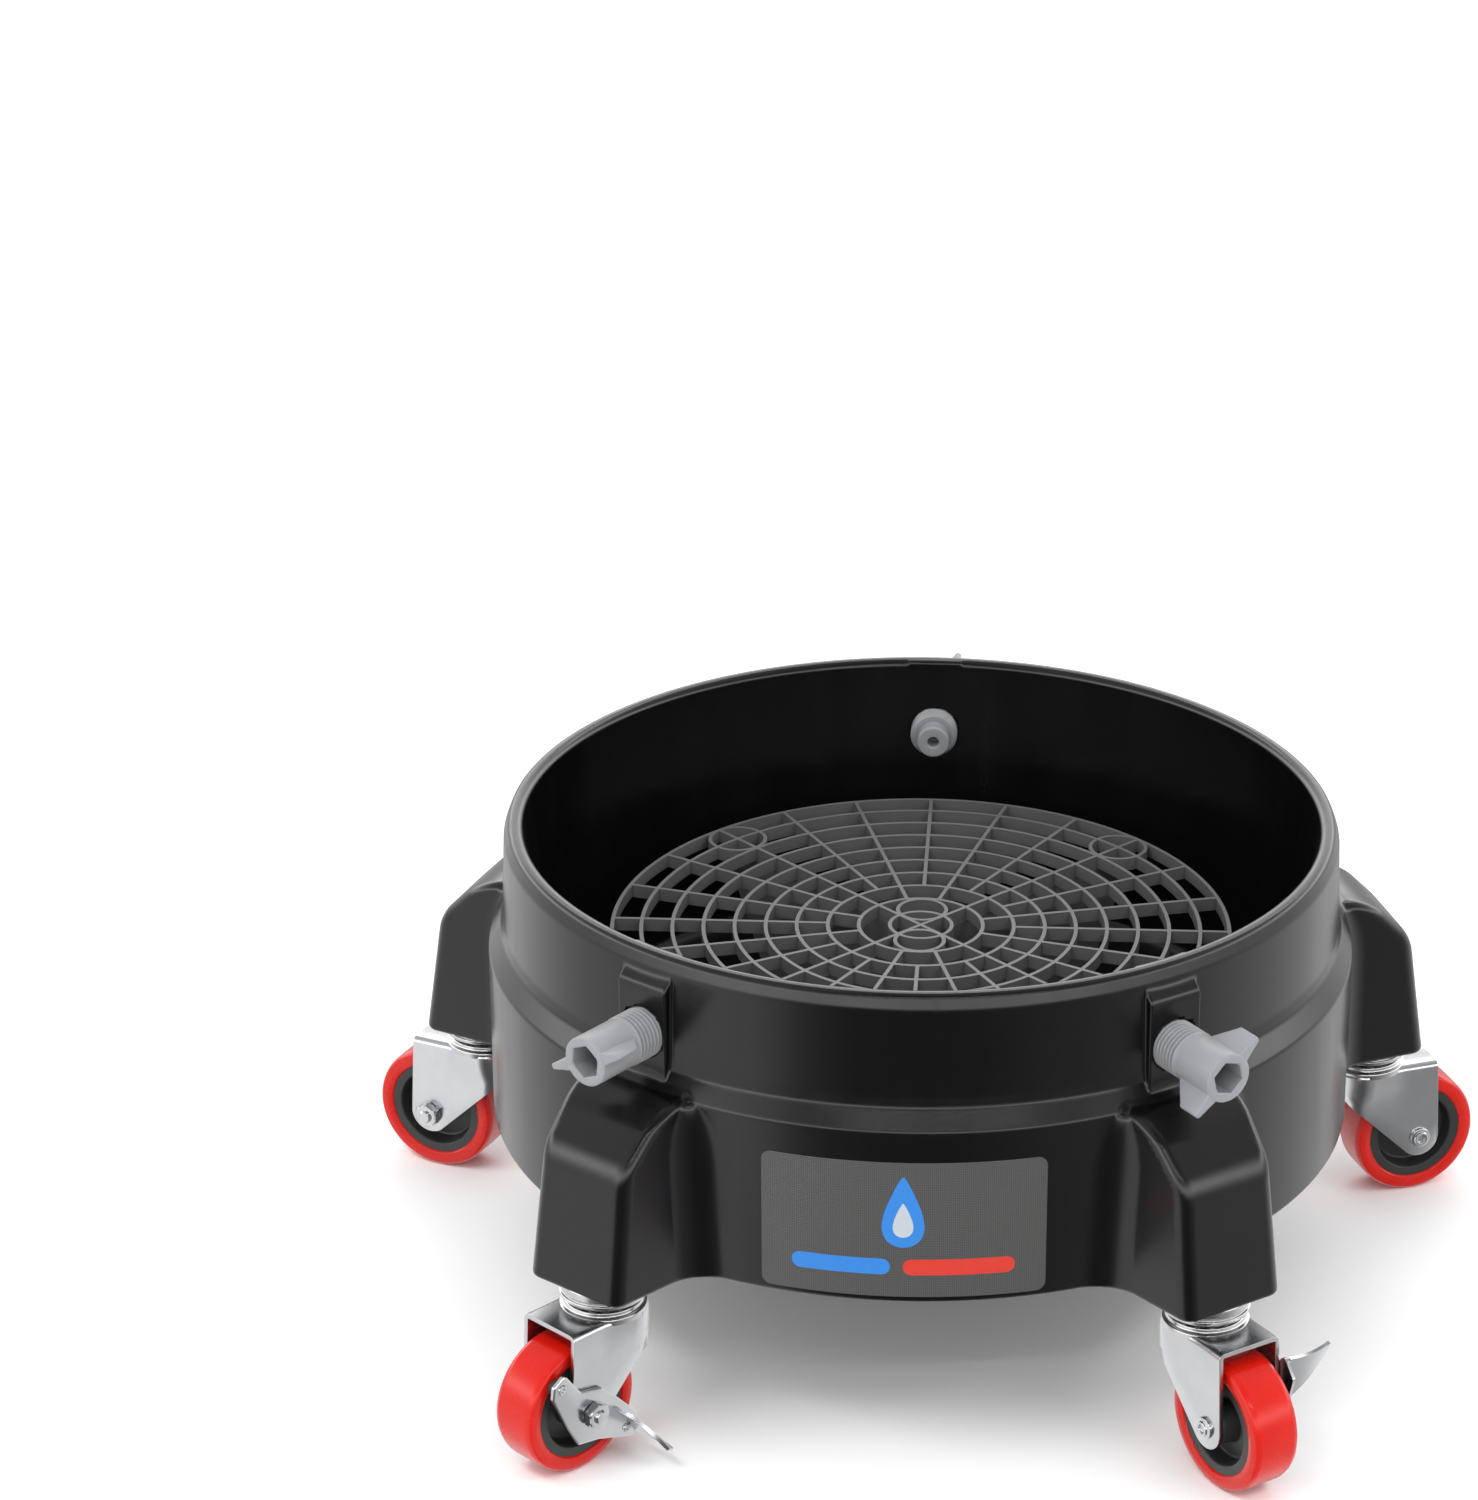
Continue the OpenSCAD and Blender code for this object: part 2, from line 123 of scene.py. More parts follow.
def fillet(points, radii, step=10.0, closed=True):
    """A polyline with its corners rounded by these radii, in arcs of about this many degrees."""
    pts = [np.array(p, float) for p in points]
    n = len(pts)
    out = []
    for i in range(n):
        r = radii[i] if hasattr(radii, "__len__") else radii
        p = pts[i]
        if r <= 0 or (not closed and i in (0, n - 1)):
            out.append(p)
            continue
        a = pts[i - 1] - p
        b = pts[(i + 1) % n] - p
        la, lb = np.linalg.norm(a), np.linalg.norm(b)
        a, b = a / la, b / lb
        cos = float(np.clip(a @ b, -1, 1))
        if cos < -0.9999:
            out.append(p)
            continue
        half = math.acos(cos) / 2
        cut = min(r / math.tan(half), 0.48 * la, 0.48 * lb)
        r = cut * math.tan(half)
        turn = math.pi - 2 * half
        k = max(1, int(math.ceil(math.degrees(turn) / step)))
        mid = a + b
        centre = p + mid / np.linalg.norm(mid) * (r / math.sin(half))
        u = p + a * cut - centre
        v = p + b * cut - centre
        for j in range(k + 1):
            w = j / k
            s = math.sin(turn)
            out.append(centre + u * (math.sin((1 - w) * turn) / s) + v * (math.sin(w * turn) / s))
    return np.array(out)


def lathe(profile, count, closed=False):
    """Points and faces of a profile of (r, h) turned round +Z. A closed profile makes a ring."""
    prof = np.asarray(profile, float)
    verts, rows = [], []
    for r, h in prof:
        if abs(r) < 1e-9:
            rows.append([len(verts)])
            verts.append((0, 0, h))
            continue
        rows.append(list(range(len(verts), len(verts) + count)))
        for i in range(count):
            a = TAU * i / count
            verts.append((r * math.cos(a), r * math.sin(a), h))
    faces = []
    pairs = list(zip(rows, rows[1:])) + ([(rows[-1], rows[0])] if closed else [])
    for lower, upper in pairs:
        for i in range(count):
            j = (i + 1) % count
            if len(lower) == 1 and len(upper) == 1:
                continue
            if len(lower) == 1:
                faces.append((lower[0], upper[j], upper[i]))
            elif len(upper) == 1:
                faces.append((lower[i], lower[j], upper[0]))
            else:
                faces.append((lower[i], lower[j], upper[j], upper[i]))
    return np.array(verts), faces


def joined(*parts):
    """Several (points, faces) as one."""
    verts, faces, base = [], [], 0
    for v, f in parts:
        verts.append(np.asarray(v, float))
        faces += [tuple(i + base for i in face) for face in f]
        base += len(v)
    return np.vstack(verts), faces


def turned(part, matrix):
    """A (points, faces) moved by a 4×4 matrix in millimetres."""
    m = np.array(matrix)
    v = np.asarray(part[0], float)
    return v @ m[:3, :3].T + m[:3, 3], part[1]


def outward(ob):
    """Makes the faces point outwards."""
    bm = bmesh.new()
    bm.from_mesh(ob.data)
    bmesh.ops.recalc_face_normals(bm, faces=bm.faces)
    bm.to_mesh(ob.data)
    bm.free()
    return ob


def sharp_by_angle(ob, degrees=35):
    """Smooth faces with edges sharper than this kept crisp."""
    bm = bmesh.new()
    bm.from_mesh(ob.data)
    limit = math.radians(degrees)
    for e in bm.edges:
        e.smooth = len(e.link_faces) == 2 and e.calc_face_angle(0) < limit
    for f in bm.faces:
        f.smooth = True
    bm.to_mesh(ob.data)
    bm.free()
    return ob


def apply_modifiers(ob):
    """Puts the mesh that the modifiers make in the place of the piece's own."""
    bpy.context.view_layer.update()
    deps = bpy.context.evaluated_depsgraph_get()
    mesh = bpy.data.meshes.new_from_object(ob.evaluated_get(deps))
    old = ob.data
    ob.modifiers.clear()
    ob.data = mesh
    bpy.data.meshes.remove(old)
    return ob


def bevelled(ob, width, segments=2, angle=30):
    """Rounds the edges sharper than this angle, in millimetres."""
    mod = ob.modifiers.new("bevel", "BEVEL")
    mod.width = width * MM
    mod.segments = segments
    mod.limit_method = "ANGLE"
    mod.angle_limit = math.radians(angle)
    mod.harden_normals = False
    mod.use_clamp_overlap = True
    return apply_modifiers(ob)


# ---- smooth solids from distances ----


def round_max(a, b, r):
    """Both solids at once, with a rounded edge of radius r."""
    u = np.maximum(a + r, 0)
    v = np.maximum(b + r, 0)
    return np.minimum(-r, np.maximum(a, b)) + np.sqrt(u * u + v * v)


def round_min(a, b, r):
    """Either solid, with a fillet of radius r where they meet."""
    u = np.maximum(r - a, 0)
    v = np.maximum(r - b, 0)
    return np.maximum(r, np.minimum(a, b)) - np.sqrt(u * u + v * v)


def fraction(value, start, length):
    """0 up to start, 1 from start + length on, and straight between them."""
    return min(max((value - start) / length, 0), 1)


def plane(x, y, point, normal):
    """Distance beyond a line through a point, in two dimensions."""
    n = np.array(normal, float)
    n /= np.linalg.norm(n)
    return (x - point[0]) * n[0] + (y - point[1]) * n[1]


class Section:
    """Signed distance to a closed outline in the (r, z) plane, read from a fine table."""

    def __init__(self, outline, lo, hi, step=0.3):
        self.lo, self.step = np.array(lo, float), step
        shape = np.ceil((np.array(hi) - self.lo) / step).astype(int) + 1
        r = self.lo[0] + step * np.arange(shape[0])
        z = self.lo[1] + step * np.arange(shape[1])
        R, Z = np.meshgrid(r, z, indexing="ij")
        best = np.full(R.shape, 1e9)
        inside = np.zeros(R.shape, bool)
        pts = np.asarray(outline, float)
        for a, b in zip(pts, np.roll(pts, -1, axis=0)):
            e = b - a
            le = e @ e
            if le < 1e-12:
                continue
            t = np.clip(((R - a[0]) * e[0] + (Z - a[1]) * e[1]) / le, 0, 1)
            dx = R - a[0] - t * e[0]
            dz = Z - a[1] - t * e[1]
            best = np.minimum(best, dx * dx + dz * dz)
            if a[1] != b[1]:
                up = (Z >= min(a[1], b[1])) & (Z < max(a[1], b[1]))
                at = a[0] + (Z - a[1]) * e[0] / e[1]
                inside ^= up & (R < at)
        self.table = np.where(inside, -1, 1) * np.sqrt(best)

    def __call__(self, r, z):
        u = (r - self.lo[0]) / self.step
        v = (z - self.lo[1]) / self.step
        n, m = self.table.shape
        i = np.clip(np.floor(u).astype(int), 0, n - 2)
        j = np.clip(np.floor(v).astype(int), 0, m - 2)
        u = np.clip(u - i, 0, 1)
        v = np.clip(v - j, 0, 1)
        t = self.table
        return (
            t[i, j] * (1 - u) * (1 - v)
            + t[i + 1, j] * u * (1 - v)
            + t[i, j + 1] * (1 - u) * v
            + t[i + 1, j + 1] * u * v
        )


def surface_net(values, axes, wrap_first):
    """Points in the axes' coordinates, and quads, where values change sign: one point per cell."""
    cells = [s - 1 for s in values.shape]
    total = cells[0] * cells[1] * cells[2]
    acc = np.zeros((3, total))
    count = np.zeros(total)
    quads = []
    for axis in range(3):
        lo = [slice(None)] * 3
        hi = [slice(None)] * 3
        lo[axis], hi[axis] = slice(None, -1), slice(1, None)
        a, b = values[tuple(lo)], values[tuple(hi)]
        hit = (a < 0) != (b < 0)
        if wrap_first and axis != 0:
            hit = hit.copy()
            hit[-1] = False
        idx = np.argwhere(hit)
        va, vb = a[hit], b[hit]
        t = va / (va - vb)
        pos = [axes[k][idx[:, k]] for k in range(3)]
        pos[axis] = pos[axis] + t * (axes[axis][idx[:, axis] + 1] - pos[axis])
        others = [k for k in range(3) if k != axis]
        ring = []
        ok_all = np.ones(len(idx), bool)
        for d0, d1 in ((0, 0), (1, 0), (1, 1), (0, 1)):
            c = idx.copy()
            c[:, others[0]] -= d0
            c[:, others[1]] -= d1
            p = [q.copy() for q in pos]
            if wrap_first:
                low = c[:, 0] < 0
                c[low, 0] += cells[0]
                p[0][low] += axes[0][-1] - axes[0][0]
            ok = np.all((c >= 0) & (c < np.array(cells)), axis=1)
            flat = (c[:, 0] * cells[1] + c[:, 1]) * cells[2] + c[:, 2]
            flat = np.where(ok, flat, 0)
            for k in range(3):
                acc[k] += np.bincount(flat[ok], weights=p[k][ok], minlength=total)
            count += np.bincount(flat[ok], minlength=total)
            ok_all &= ok
            ring.append(flat)
        ring = np.stack(ring, axis=1)
        quads.append(ring[ok_all])
    used = count > 0
    index = np.cumsum(used) - 1
    pts = (acc[:, used] / count[used]).T
    return pts, index[np.vstack(quads)], used, index


def settle(points, distance, rounds=3, h=0.12):
    """Moves points onto the surface where distance is 0, and gives its normals there."""
    p = np.array(points, float)
    grad = None
    for k in range(rounds + 1):
        grad = np.empty_like(p)
        for axis in range(3):
            d = np.zeros(3)
            d[axis] = h
            grad[:, axis] = (distance(p + d) - distance(p - d)) / (2 * h)
        size = np.maximum(np.linalg.norm(grad, axis=1), 0.3)
        if k < rounds:
            move = np.clip(distance(p) / size, -1.5, 1.5)
            p -= grad / size[:, None] * move[:, None]
    return p, grad / np.linalg.norm(grad, axis=1)[:, None]


# ---- materials ----


class Nodes:
    """A small builder for one material's node tree."""

    def __init__(self, name):
        self.mat = bpy.data.materials.new(name)
        self.mat.use_nodes = True
        self.tree = self.mat.node_tree
        self.bsdf = self.tree.nodes["Principled BSDF"]
        self.coord = None

    def node(self, kind, props=None):
        n = self.tree.nodes.new(kind)
        for key, value in (props or {}).items():
            setattr(n, key, value)
        return n

    def put(self, n, key, value):
        socket = n.inputs[int(key)] if key.isdigit() else n.inputs[key]
        if isinstance(value, bpy.types.NodeSocket):
            self.tree.links.new(value, socket)
        else:
            socket.default_value = value

    def set(self, **inputs):
        for key, value in inputs.items():
            self.put(self.bsdf, key.replace("_", " "), value)

    def object_point(self):
        if self.coord is None:
            self.coord = self.node("ShaderNodeTexCoord").outputs["Object"]
        return self.coord

    def noise(self, scale, detail, rough, vector=None):
        n = self.node("ShaderNodeTexNoise")
        self.put(n, "Vector", vector or self.object_point())
        self.put(n, "Scale", scale)
        self.put(n, "Detail", detail)
        self.put(n, "Roughness", rough)
        return n.outputs["Fac"]

    def stretch(self, x, y, z):
        n = self.node("ShaderNodeMapping")
        self.put(n, "Vector", self.object_point())
        self.put(n, "Scale", (x, y, z))
        return n.outputs["Vector"]

    def span(self, value, a, b, c, d):
        n = self.node("ShaderNodeMapRange")
        for key, v in zip(("Value", "From Min", "From Max", "To Min", "To Max"), (value, a, b, c, d)):
            self.put(n, key, v)
        return n.outputs["Result"]

    def mix(self, fac, a, b):
        n = self.node("ShaderNodeMix", {"data_type": "RGBA"})
        self.put(n, "0", fac)
        self.put(n, "6", a)
        self.put(n, "7", b)
        return n.outputs[2]

    def math(self, op, a, b=0.0, c=0.0):
        n = self.node("ShaderNodeMath", {"operation": op})
        for i, v in enumerate((a, b, c)):
            self.put(n, str(i), v)
        return n.outputs[0]

    def bump(self, height, distance, strength=1.0, normal=None):
        n = self.node("ShaderNodeBump")
        self.put(n, "Height", height)
        self.put(n, "Distance", distance * MM)
        self.put(n, "Strength", strength)
        if normal is not None:
            self.put(n, "Normal", normal)
        return n.outputs["Normal"]


NYLON_TINT = (0.97, 1, 1.04)


def grey(v, tint=(1, 1, 1)):
    return (v * tint[0], v * tint[1], v * tint[2], 1)


def pan_material():
    m = Nodes("pan_black_moulding")
    fine = m.noise(2600, 3, 0.6)
    broad = m.noise(22, 3, 0.55)
    scuff = m.noise(9, 4, 0.65, m.stretch(6, 6, 0.8))
    m.set(
        Base_Color=m.mix(broad, grey(0.0018, (1, 1, 1.1)), grey(0.003, (1, 1, 1.1))),
        Roughness=m.span(scuff, 0.3, 0.75, 0.17, 0.28),
        Normal=m.bump(fine, 0.05, 0.35, m.bump(broad, 0.25, 0.25)),
    )
    m.set(IOR=1.5)
    return m.mat


def grained(name, grain, bump, drift, dark, light, rough, metal=False, gloss_by_grain=False):
    """Colour that drifts with one noise over a fine grain; the gloss follows either of them."""
    m = Nodes(name)
    fine = m.noise(*grain)
    broad = m.noise(*drift) if drift else fine
    gloss = fine if gloss_by_grain else broad
    m.set(
        Base_Color=m.mix(broad, dark, light),
        Roughness=m.span(gloss, 0.3, 0.7, *rough),
        Normal=m.bump(fine, *bump),
    )
    if metal:
        m.set(Metallic=1.0)
    return m.mat


def plastic(name, grain_scale, drift_scale, dark, light, rough):
    grain, drift = (grain_scale, 2, 0.5), (drift_scale, 3, 0.5)
    return grained(name, grain, (0.04, 0.3), drift, dark, light, rough)


def zinc_material():
    m = Nodes("zinc_plate")
    broad = m.noise(70, 3, 0.5)
    grain = m.noise(700, 3, 0.6, m.stretch(1, 1, 0.2))
    m.set(
        Base_Color=m.mix(broad, grey(0.56, (0.97, 1.0, 1.04)), grey(0.66, (1, 1.0, 1.01))),
        Roughness=m.span(grain, 0.3, 0.7, 0.19, 0.27),
        Normal=m.bump(grain, 0.004, 0.3, m.bump(broad, 0.03, 0.25)),
    )
    m.set(Metallic=1.0)
    return m.mat


def tread_material():
    m = Nodes("red_tread")
    fine = m.noise(1500, 2, 0.5)
    broad = m.noise(55, 4, 0.6)
    m.set(
        Base_Color=m.mix(broad, (0.5, 0.006, 0.002, 1), (0.6, 0.011, 0.004, 1)),
        Roughness=m.span(broad, 0.3, 0.7, 0.2, 0.32),
        Normal=m.bump(fine, 0.03, 0.25, m.bump(broad, 0.1, 0.2)),
    )
    m.set(Specular_IOR_Level=0.3, Coat_Weight=0.12, Coat_Roughness=0.06)
    return m.mat


WEAVE_MM = 1.5


def label_material():
    m = Nodes("label_film")
    uv = m.node("ShaderNodeUVMap", {"uv_map": "weave"}).outputs["UV"]
    split = m.node("ShaderNodeSeparateXYZ")
    m.put(split, "Vector", uv)
    u, v = split.outputs["X"], split.outputs["Y"]
    per_mm = TAU / WEAVE_MM
    warp = m.math("SINE", m.math("MULTIPLY", m.math("ADD", u, v), per_mm))
    weft = m.math("SINE", m.math("MULTIPLY", m.math("SUBTRACT", u, v), per_mm))
    weave = m.math("MULTIPLY", warp, weft)
    fac = m.span(weave, -1.0, 1.0, 0.0, 1.0)
    m.set(
        Base_Color=m.mix(fac, grey(0.03, (1, 1, 1.0)), grey(0.1, (1, 1, 0.98))),
        Roughness=m.span(weave, -1.0, 1.0, 0.34, 0.5),
        Normal=m.bump(weave, 0.04, 0.4),
    )
    return m.mat


MAT = {
    "pan_plastic": pan_material(),
    "screw_plastic": plastic(
        "screw_grey_nylon", 1900, 60, grey(0.23, NYLON_TINT), grey(0.28, NYLON_TINT), (0.3, 0.42)
    ),
    "insert_plastic": plastic("insert_grey_plastic", 1700, 45, grey(0.085), grey(0.115), (0.34, 0.46)),
    "zinc_plate": zinc_material(),
    "bearing_steel": grained(
        "bright_steel", (1500, 2, 0.6), (0.015, 0.3), (150, 3, 0.6), grey(0.5), grey(0.66),
        (0.16, 0.28), metal=True, gloss_by_grain=True,
    ),
    "bolt_steel": zinc_material(),
    "hub_plastic": plastic("wheel_core_black", 1700, 50, grey(0.018), grey(0.032), (0.38, 0.52)),
    "tread": tread_material(),
    "brake_rubber": grained(
        "brake_rubber", (2200, 3, 0.6), (0.08, 0.4), None, grey(0.02), grey(0.035), (0.6, 0.75)
    ),
    "brass": grained(
        "brass_insert", (1200, 2, 0.6), (0.02, 0.3), None,
        (0.5, 0.34, 0.12, 1), (0.62, 0.44, 0.18, 1), (0.25, 0.4), metal=True,
    ),
    "label_film": label_material(),
}


# ---- pan ----

RIM_IN = 164.4
SKIRT_R = 180.5
FLOOR_Z = 91.0
LEG_R = 221.6
SCREW_Z = joints["rear_screw_turn"]["pos_m"][2] / MM
SCREW_BORE_R = 10.5
PAD_HALF_W = 12.0
PAD_FACE = 177.0


def pan_sections():
    """The filled outer body, the space inside it and the recess under its floor."""
    out = fillet(
        [
            (-40, BASE_Z - 60), (SKIRT_R, BASE_Z - 60), (SKIRT_R, 150.2), (175.2, 158.6),
            (174.3, 163), (172.9, 199), (170.6, RIM_Z), (-40, RIM_Z),
        ],
        [0, 0, 3.0, 4.0, 8, 6, 2.6, 0], 3.0,
    )
    space = fillet(
        [(-40, FLOOR_Z), (154.4, FLOOR_Z), (RIM_IN, 201), (RIM_IN + 0.2, 260), (-40, 260)],
        [0, 6.5, 3, 0, 0], 3.0,
    )
    under = fillet(
        [(-40, 40), (150.5, 40), (150.5, BASE_Z), (146, 83), (-40, 83)], [0, 0, 0.5, 3, 0], 4.0
    )
    lo, hi = (0, 66), (232, 212)
    return Section(out, lo, hi), Section(space, lo, hi), Section(under, lo, hi)


pan_out, pan_space, pan_under = pan_sections()
PAD_ANGLES = [LEG_ANGLE["front_left"], LEG_ANGLE["front_right"], LEG_ANGLE["rear"]]


def leg_distance(x, y, z):
    """One leg along +X: its sides spread towards the pan and lean in towards the top."""
    half, spread, lean = 23.3, 0.132, 0.045
    side = np.abs(y) - (half + spread * (LEG_R - x) - lean * (z - BASE_Z))
    side /= math.sqrt(1 + spread**2 + lean**2)
    face = plane(x, z, (LEG_R, BASE_Z), (55, 7.7))
    slope = plane(x, z, (LEG_R - 7.7, 130), (1, 1.005))
    top = plane(x, z, (192.8, 151), (2.2, 27.8))
    plan = round_max(side, face, 5.5)
    roof = round_max(slope, top, 7.0)
    return round_max(plan, roof, 4.0)


def pad_distance(x, y, z):
    """The flat pad along +X that a clamp screw goes through."""
    side = np.abs(y) - PAD_HALF_W
    face = x - PAD_FACE
    top = plane(x, z, (PAD_FACE, 193), (1, 1))
    low = 148.0 - z
    return np.maximum(round_max(round_max(side, face, 0.9), top, 1.2), low)


def seen_from(x, y, degrees):
    """The same points along and across a direction at this angle about Z."""
    c, s = math.cos(math.radians(degrees)), math.sin(math.radians(degrees))
    return x * c + y * s, y * c - x * s


def pan_distance(p):
    """Signed distance to the whole moulding."""
    x, y, z = p[..., 0], p[..., 1], p[..., 2]
    r = np.hypot(x, y)
    angle = np.degrees(np.arctan2(y, x))
    fold = (angle - LEG_ANGLE["right"] + 36) % 72 - 36
    lx, ly = r * np.cos(np.radians(fold)), r * np.sin(np.radians(fold))
    body = pan_out(r, z)
    blend = 12 * np.sqrt(np.clip(1 - (np.maximum(z - 124, 0) / 27) ** 2, 0.04, 1))
    body = round_min(body, leg_distance(lx, ly, z), blend)
    for a in PAD_ANGLES:
        px, py = seen_from(x, y, a)
        pad = pad_distance(px, py, z)
        body = np.where(px > 100, round_min(body, pad, 1.2), body)
    body = round_max(body, BASE_Z - z, 2.2)
    body = round_max(body, -pan_space(r, z), 3.2)
    body = round_max(body, -pan_under(r, z), 1.5)
    for a in PAD_ANGLES:
        px, py = seen_from(x, y, a)
        bore = np.where(px > 0, np.hypot(py, z - SCREW_Z) - SCREW_BORE_R, 99.0)
        body = np.maximum(body, -bore)
    return body


def steps(*spans):
    """Grid lines through these (start, stop, about this step) spans."""
    out = []
    for a, b, s in spans:
        n = max(1, int(round((b - a) / s)))
        out += list(np.linspace(a, b, n, endpoint=False))
    out.append(spans[-1][1])
    return np.array(out)


def build_pan():
    """The moulding as one mesh on a grid of angle, radius and height, finer beside the pads."""
    coarse = 1.0
    pad_edge = math.degrees(math.asin(PAD_HALF_W / 175.5))
    spans, last = [], 0.0
    for a in sorted((a + k * pad_edge) % 360 for a in PAD_ANGLES for k in (-1, 1)):
        spans += [(last, a - 0.7, 0.5 * coarse), (a - 0.7, a + 0.7, 0.14 * coarse)]
        last = a + 0.7
    theta = steps(*spans, (last, 360, 0.5 * coarse))
    rr = steps(
        (8, 140, 22), (140, 160, 1.4 * coarse), (160, 183, 0.95 * coarse), (183, 226, 1.5 * coarse),
    )
    zz = steps(
        (72, 78.5, 0.9 * coarse), (78.5, 97, 1.5 * coarse), (97, 146, 2.2 * coarse),
        (146, 165, 1.2 * coarse), (165, 197, 2 * coarse), (197, 207.5, 0.8 * coarse),
    )
    R, Z = np.meshgrid(rr, zz, indexing="ij")
    values = np.empty((len(theta), len(rr), len(zz)))
    for i, t in enumerate(theta):
        c, s = math.cos(math.radians(t)), math.sin(math.radians(t))
        values[i] = pan_distance(np.stack((R * c, R * s, Z), axis=-1))
    values[-1] = values[0]
    pts, quads, used, index = surface_net(values, (theta, rr, zz), True)
    a = np.radians(pts[:, 0])
    xyz = np.stack((pts[:, 1] * np.cos(a), pts[:, 1] * np.sin(a), pts[:, 2]), axis=1)
    xyz, normals = settle(xyz, pan_distance)
    a, b, c, d = (xyz[quads[:, k]] for k in range(4))
    flip = np.sum(np.cross(c - a, d - b) * normals[quads[:, 0]], axis=1) < 0
    quads[flip] = quads[flip][:, ::-1]
    faces = [tuple(q) for q in quads]
    cells = (len(theta) - 1, len(rr) - 1, len(zz) - 1)
    grid = used.reshape(cells)
    ids = index.reshape(cells)
    verts = [xyz]
    extra = len(xyz)
    for k in np.flatnonzero(grid[0, 0]):
        ring = ids[:, 0, k]
        z = xyz[ring[0], 2]
        verts.append(np.array([[0, 0, z]]))
        up = z > 87
        for i in range(cells[0]):
            j = (i + 1) % cells[0]
            tri = (ring[i], ring[j], extra)
            faces.append(tri if up else tri[::-1])
        extra += 1
        normals = np.vstack((normals, [[0, 0, 1 if up else -1]]))
    ob = new_object("pan_moulding", np.vstack(verts), faces)
    ob.data.normals_split_custom_set_from_vertices(normals.tolist())
    return ob


pan = build_pan()
finish_piece(pan, MAT["pan_plastic"], "pan", ["pan_shell"])

# ---- casters ----

TRAIL = trail_of("left")
FORK_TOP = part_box("left_fork")[1].z / MM - 2.0
FORK_W = 29.4
FORK_FLARE_X = 12.5
LEVER_GAP = 0.3
LEVER_STACK = 2.2
LEVER_TURNS = {"front_left": 0.0, "front_right": 152.0}
SHOE_AT = (15.8, 16.5)
TREAD_HALF_W = 10.65
# the fork's sides stay flat where the brake lever sweeps, and flare above this and behind that
FLARE_ABOVE, FLARE_RISE = 46, 9
FLARE_BEHIND, FLARE_RUN = 7, 5
TURN_Y = Matrix.Rotation(-math.pi / 2, 4, "X")


def along_y(part):
    """A lathe part turned so that its axis lies along +Y."""
    return turned(part, TURN_Y)


def shifted(part, x=0.0, y=0.0, z=0.0):
    return turned(part, Matrix.Translation((x, y, z)))


def fork_width(x):
    """Half the fork's width at x: straight by the wheel, wider at the bearing, closed at the back."""
    flare = FORK_W / 2 + 0.135 * max(0.0, FORK_FLARE_X - x)
    back = 18.0
    if x < 0:
        flare = min(flare, math.sqrt(max(back * back - x * x, 0.0)))
    return flare


def fork_stations():
    """The fork's lower edge from its front to the middle of its back: (x at the top, x, z)."""
    foot, r = (TRAIL, WHEEL_R), 9.0
    edge = []
    for k in range(0, 15):
        t = -math.radians(k * 9.2)
        edge.append((foot[0] + r * math.cos(t), foot[1] + r * math.sin(t)))
    last = edge[-1]
    for k in range(1, 8):
        w = k / 8
        edge.append((last[0] + (-12.5 - last[0]) * w, last[1] + (48.5 - last[1]) * w))
    edge += [(-12.5, 48.5), (-14.2, 51.0), (-15.8, 53.6), (-17.0, 56.0), (-17.7, 57.6), (-18.0, 58.4)]
    out = []
    for x, z in edge:
        top_x = x
        for _ in range(4):
            w = fraction(top_x, FORK_FLARE_X, 16.3)
            top_x = x - 2.0 * w * (FORK_TOP - z) / 36
        out.append((top_x, x, z))
    return out


def sheet_faces(n, m, columns):
    """Quads of two sheets of n rows of m points, joined along these columns and at both ends."""
    base = n * m
    faces = []
    for i in range(n - 1):
        for j in range(m - 1):
            a, b = i * m + j, (i + 1) * m + j
            faces.append((a, b, b + 1, a + 1))
            faces.append((base + a, base + a + 1, base + b + 1, base + b))
        for j in columns:
            a, b = i * m + j, (i + 1) * m + j
            faces.append((a, base + a, base + b, b))
    for a in (i * m + j for i in (0, n - 1) for j in range(m - 1)):
        faces.append((a, a + 1, base + a + 1, base + a))
    return faces


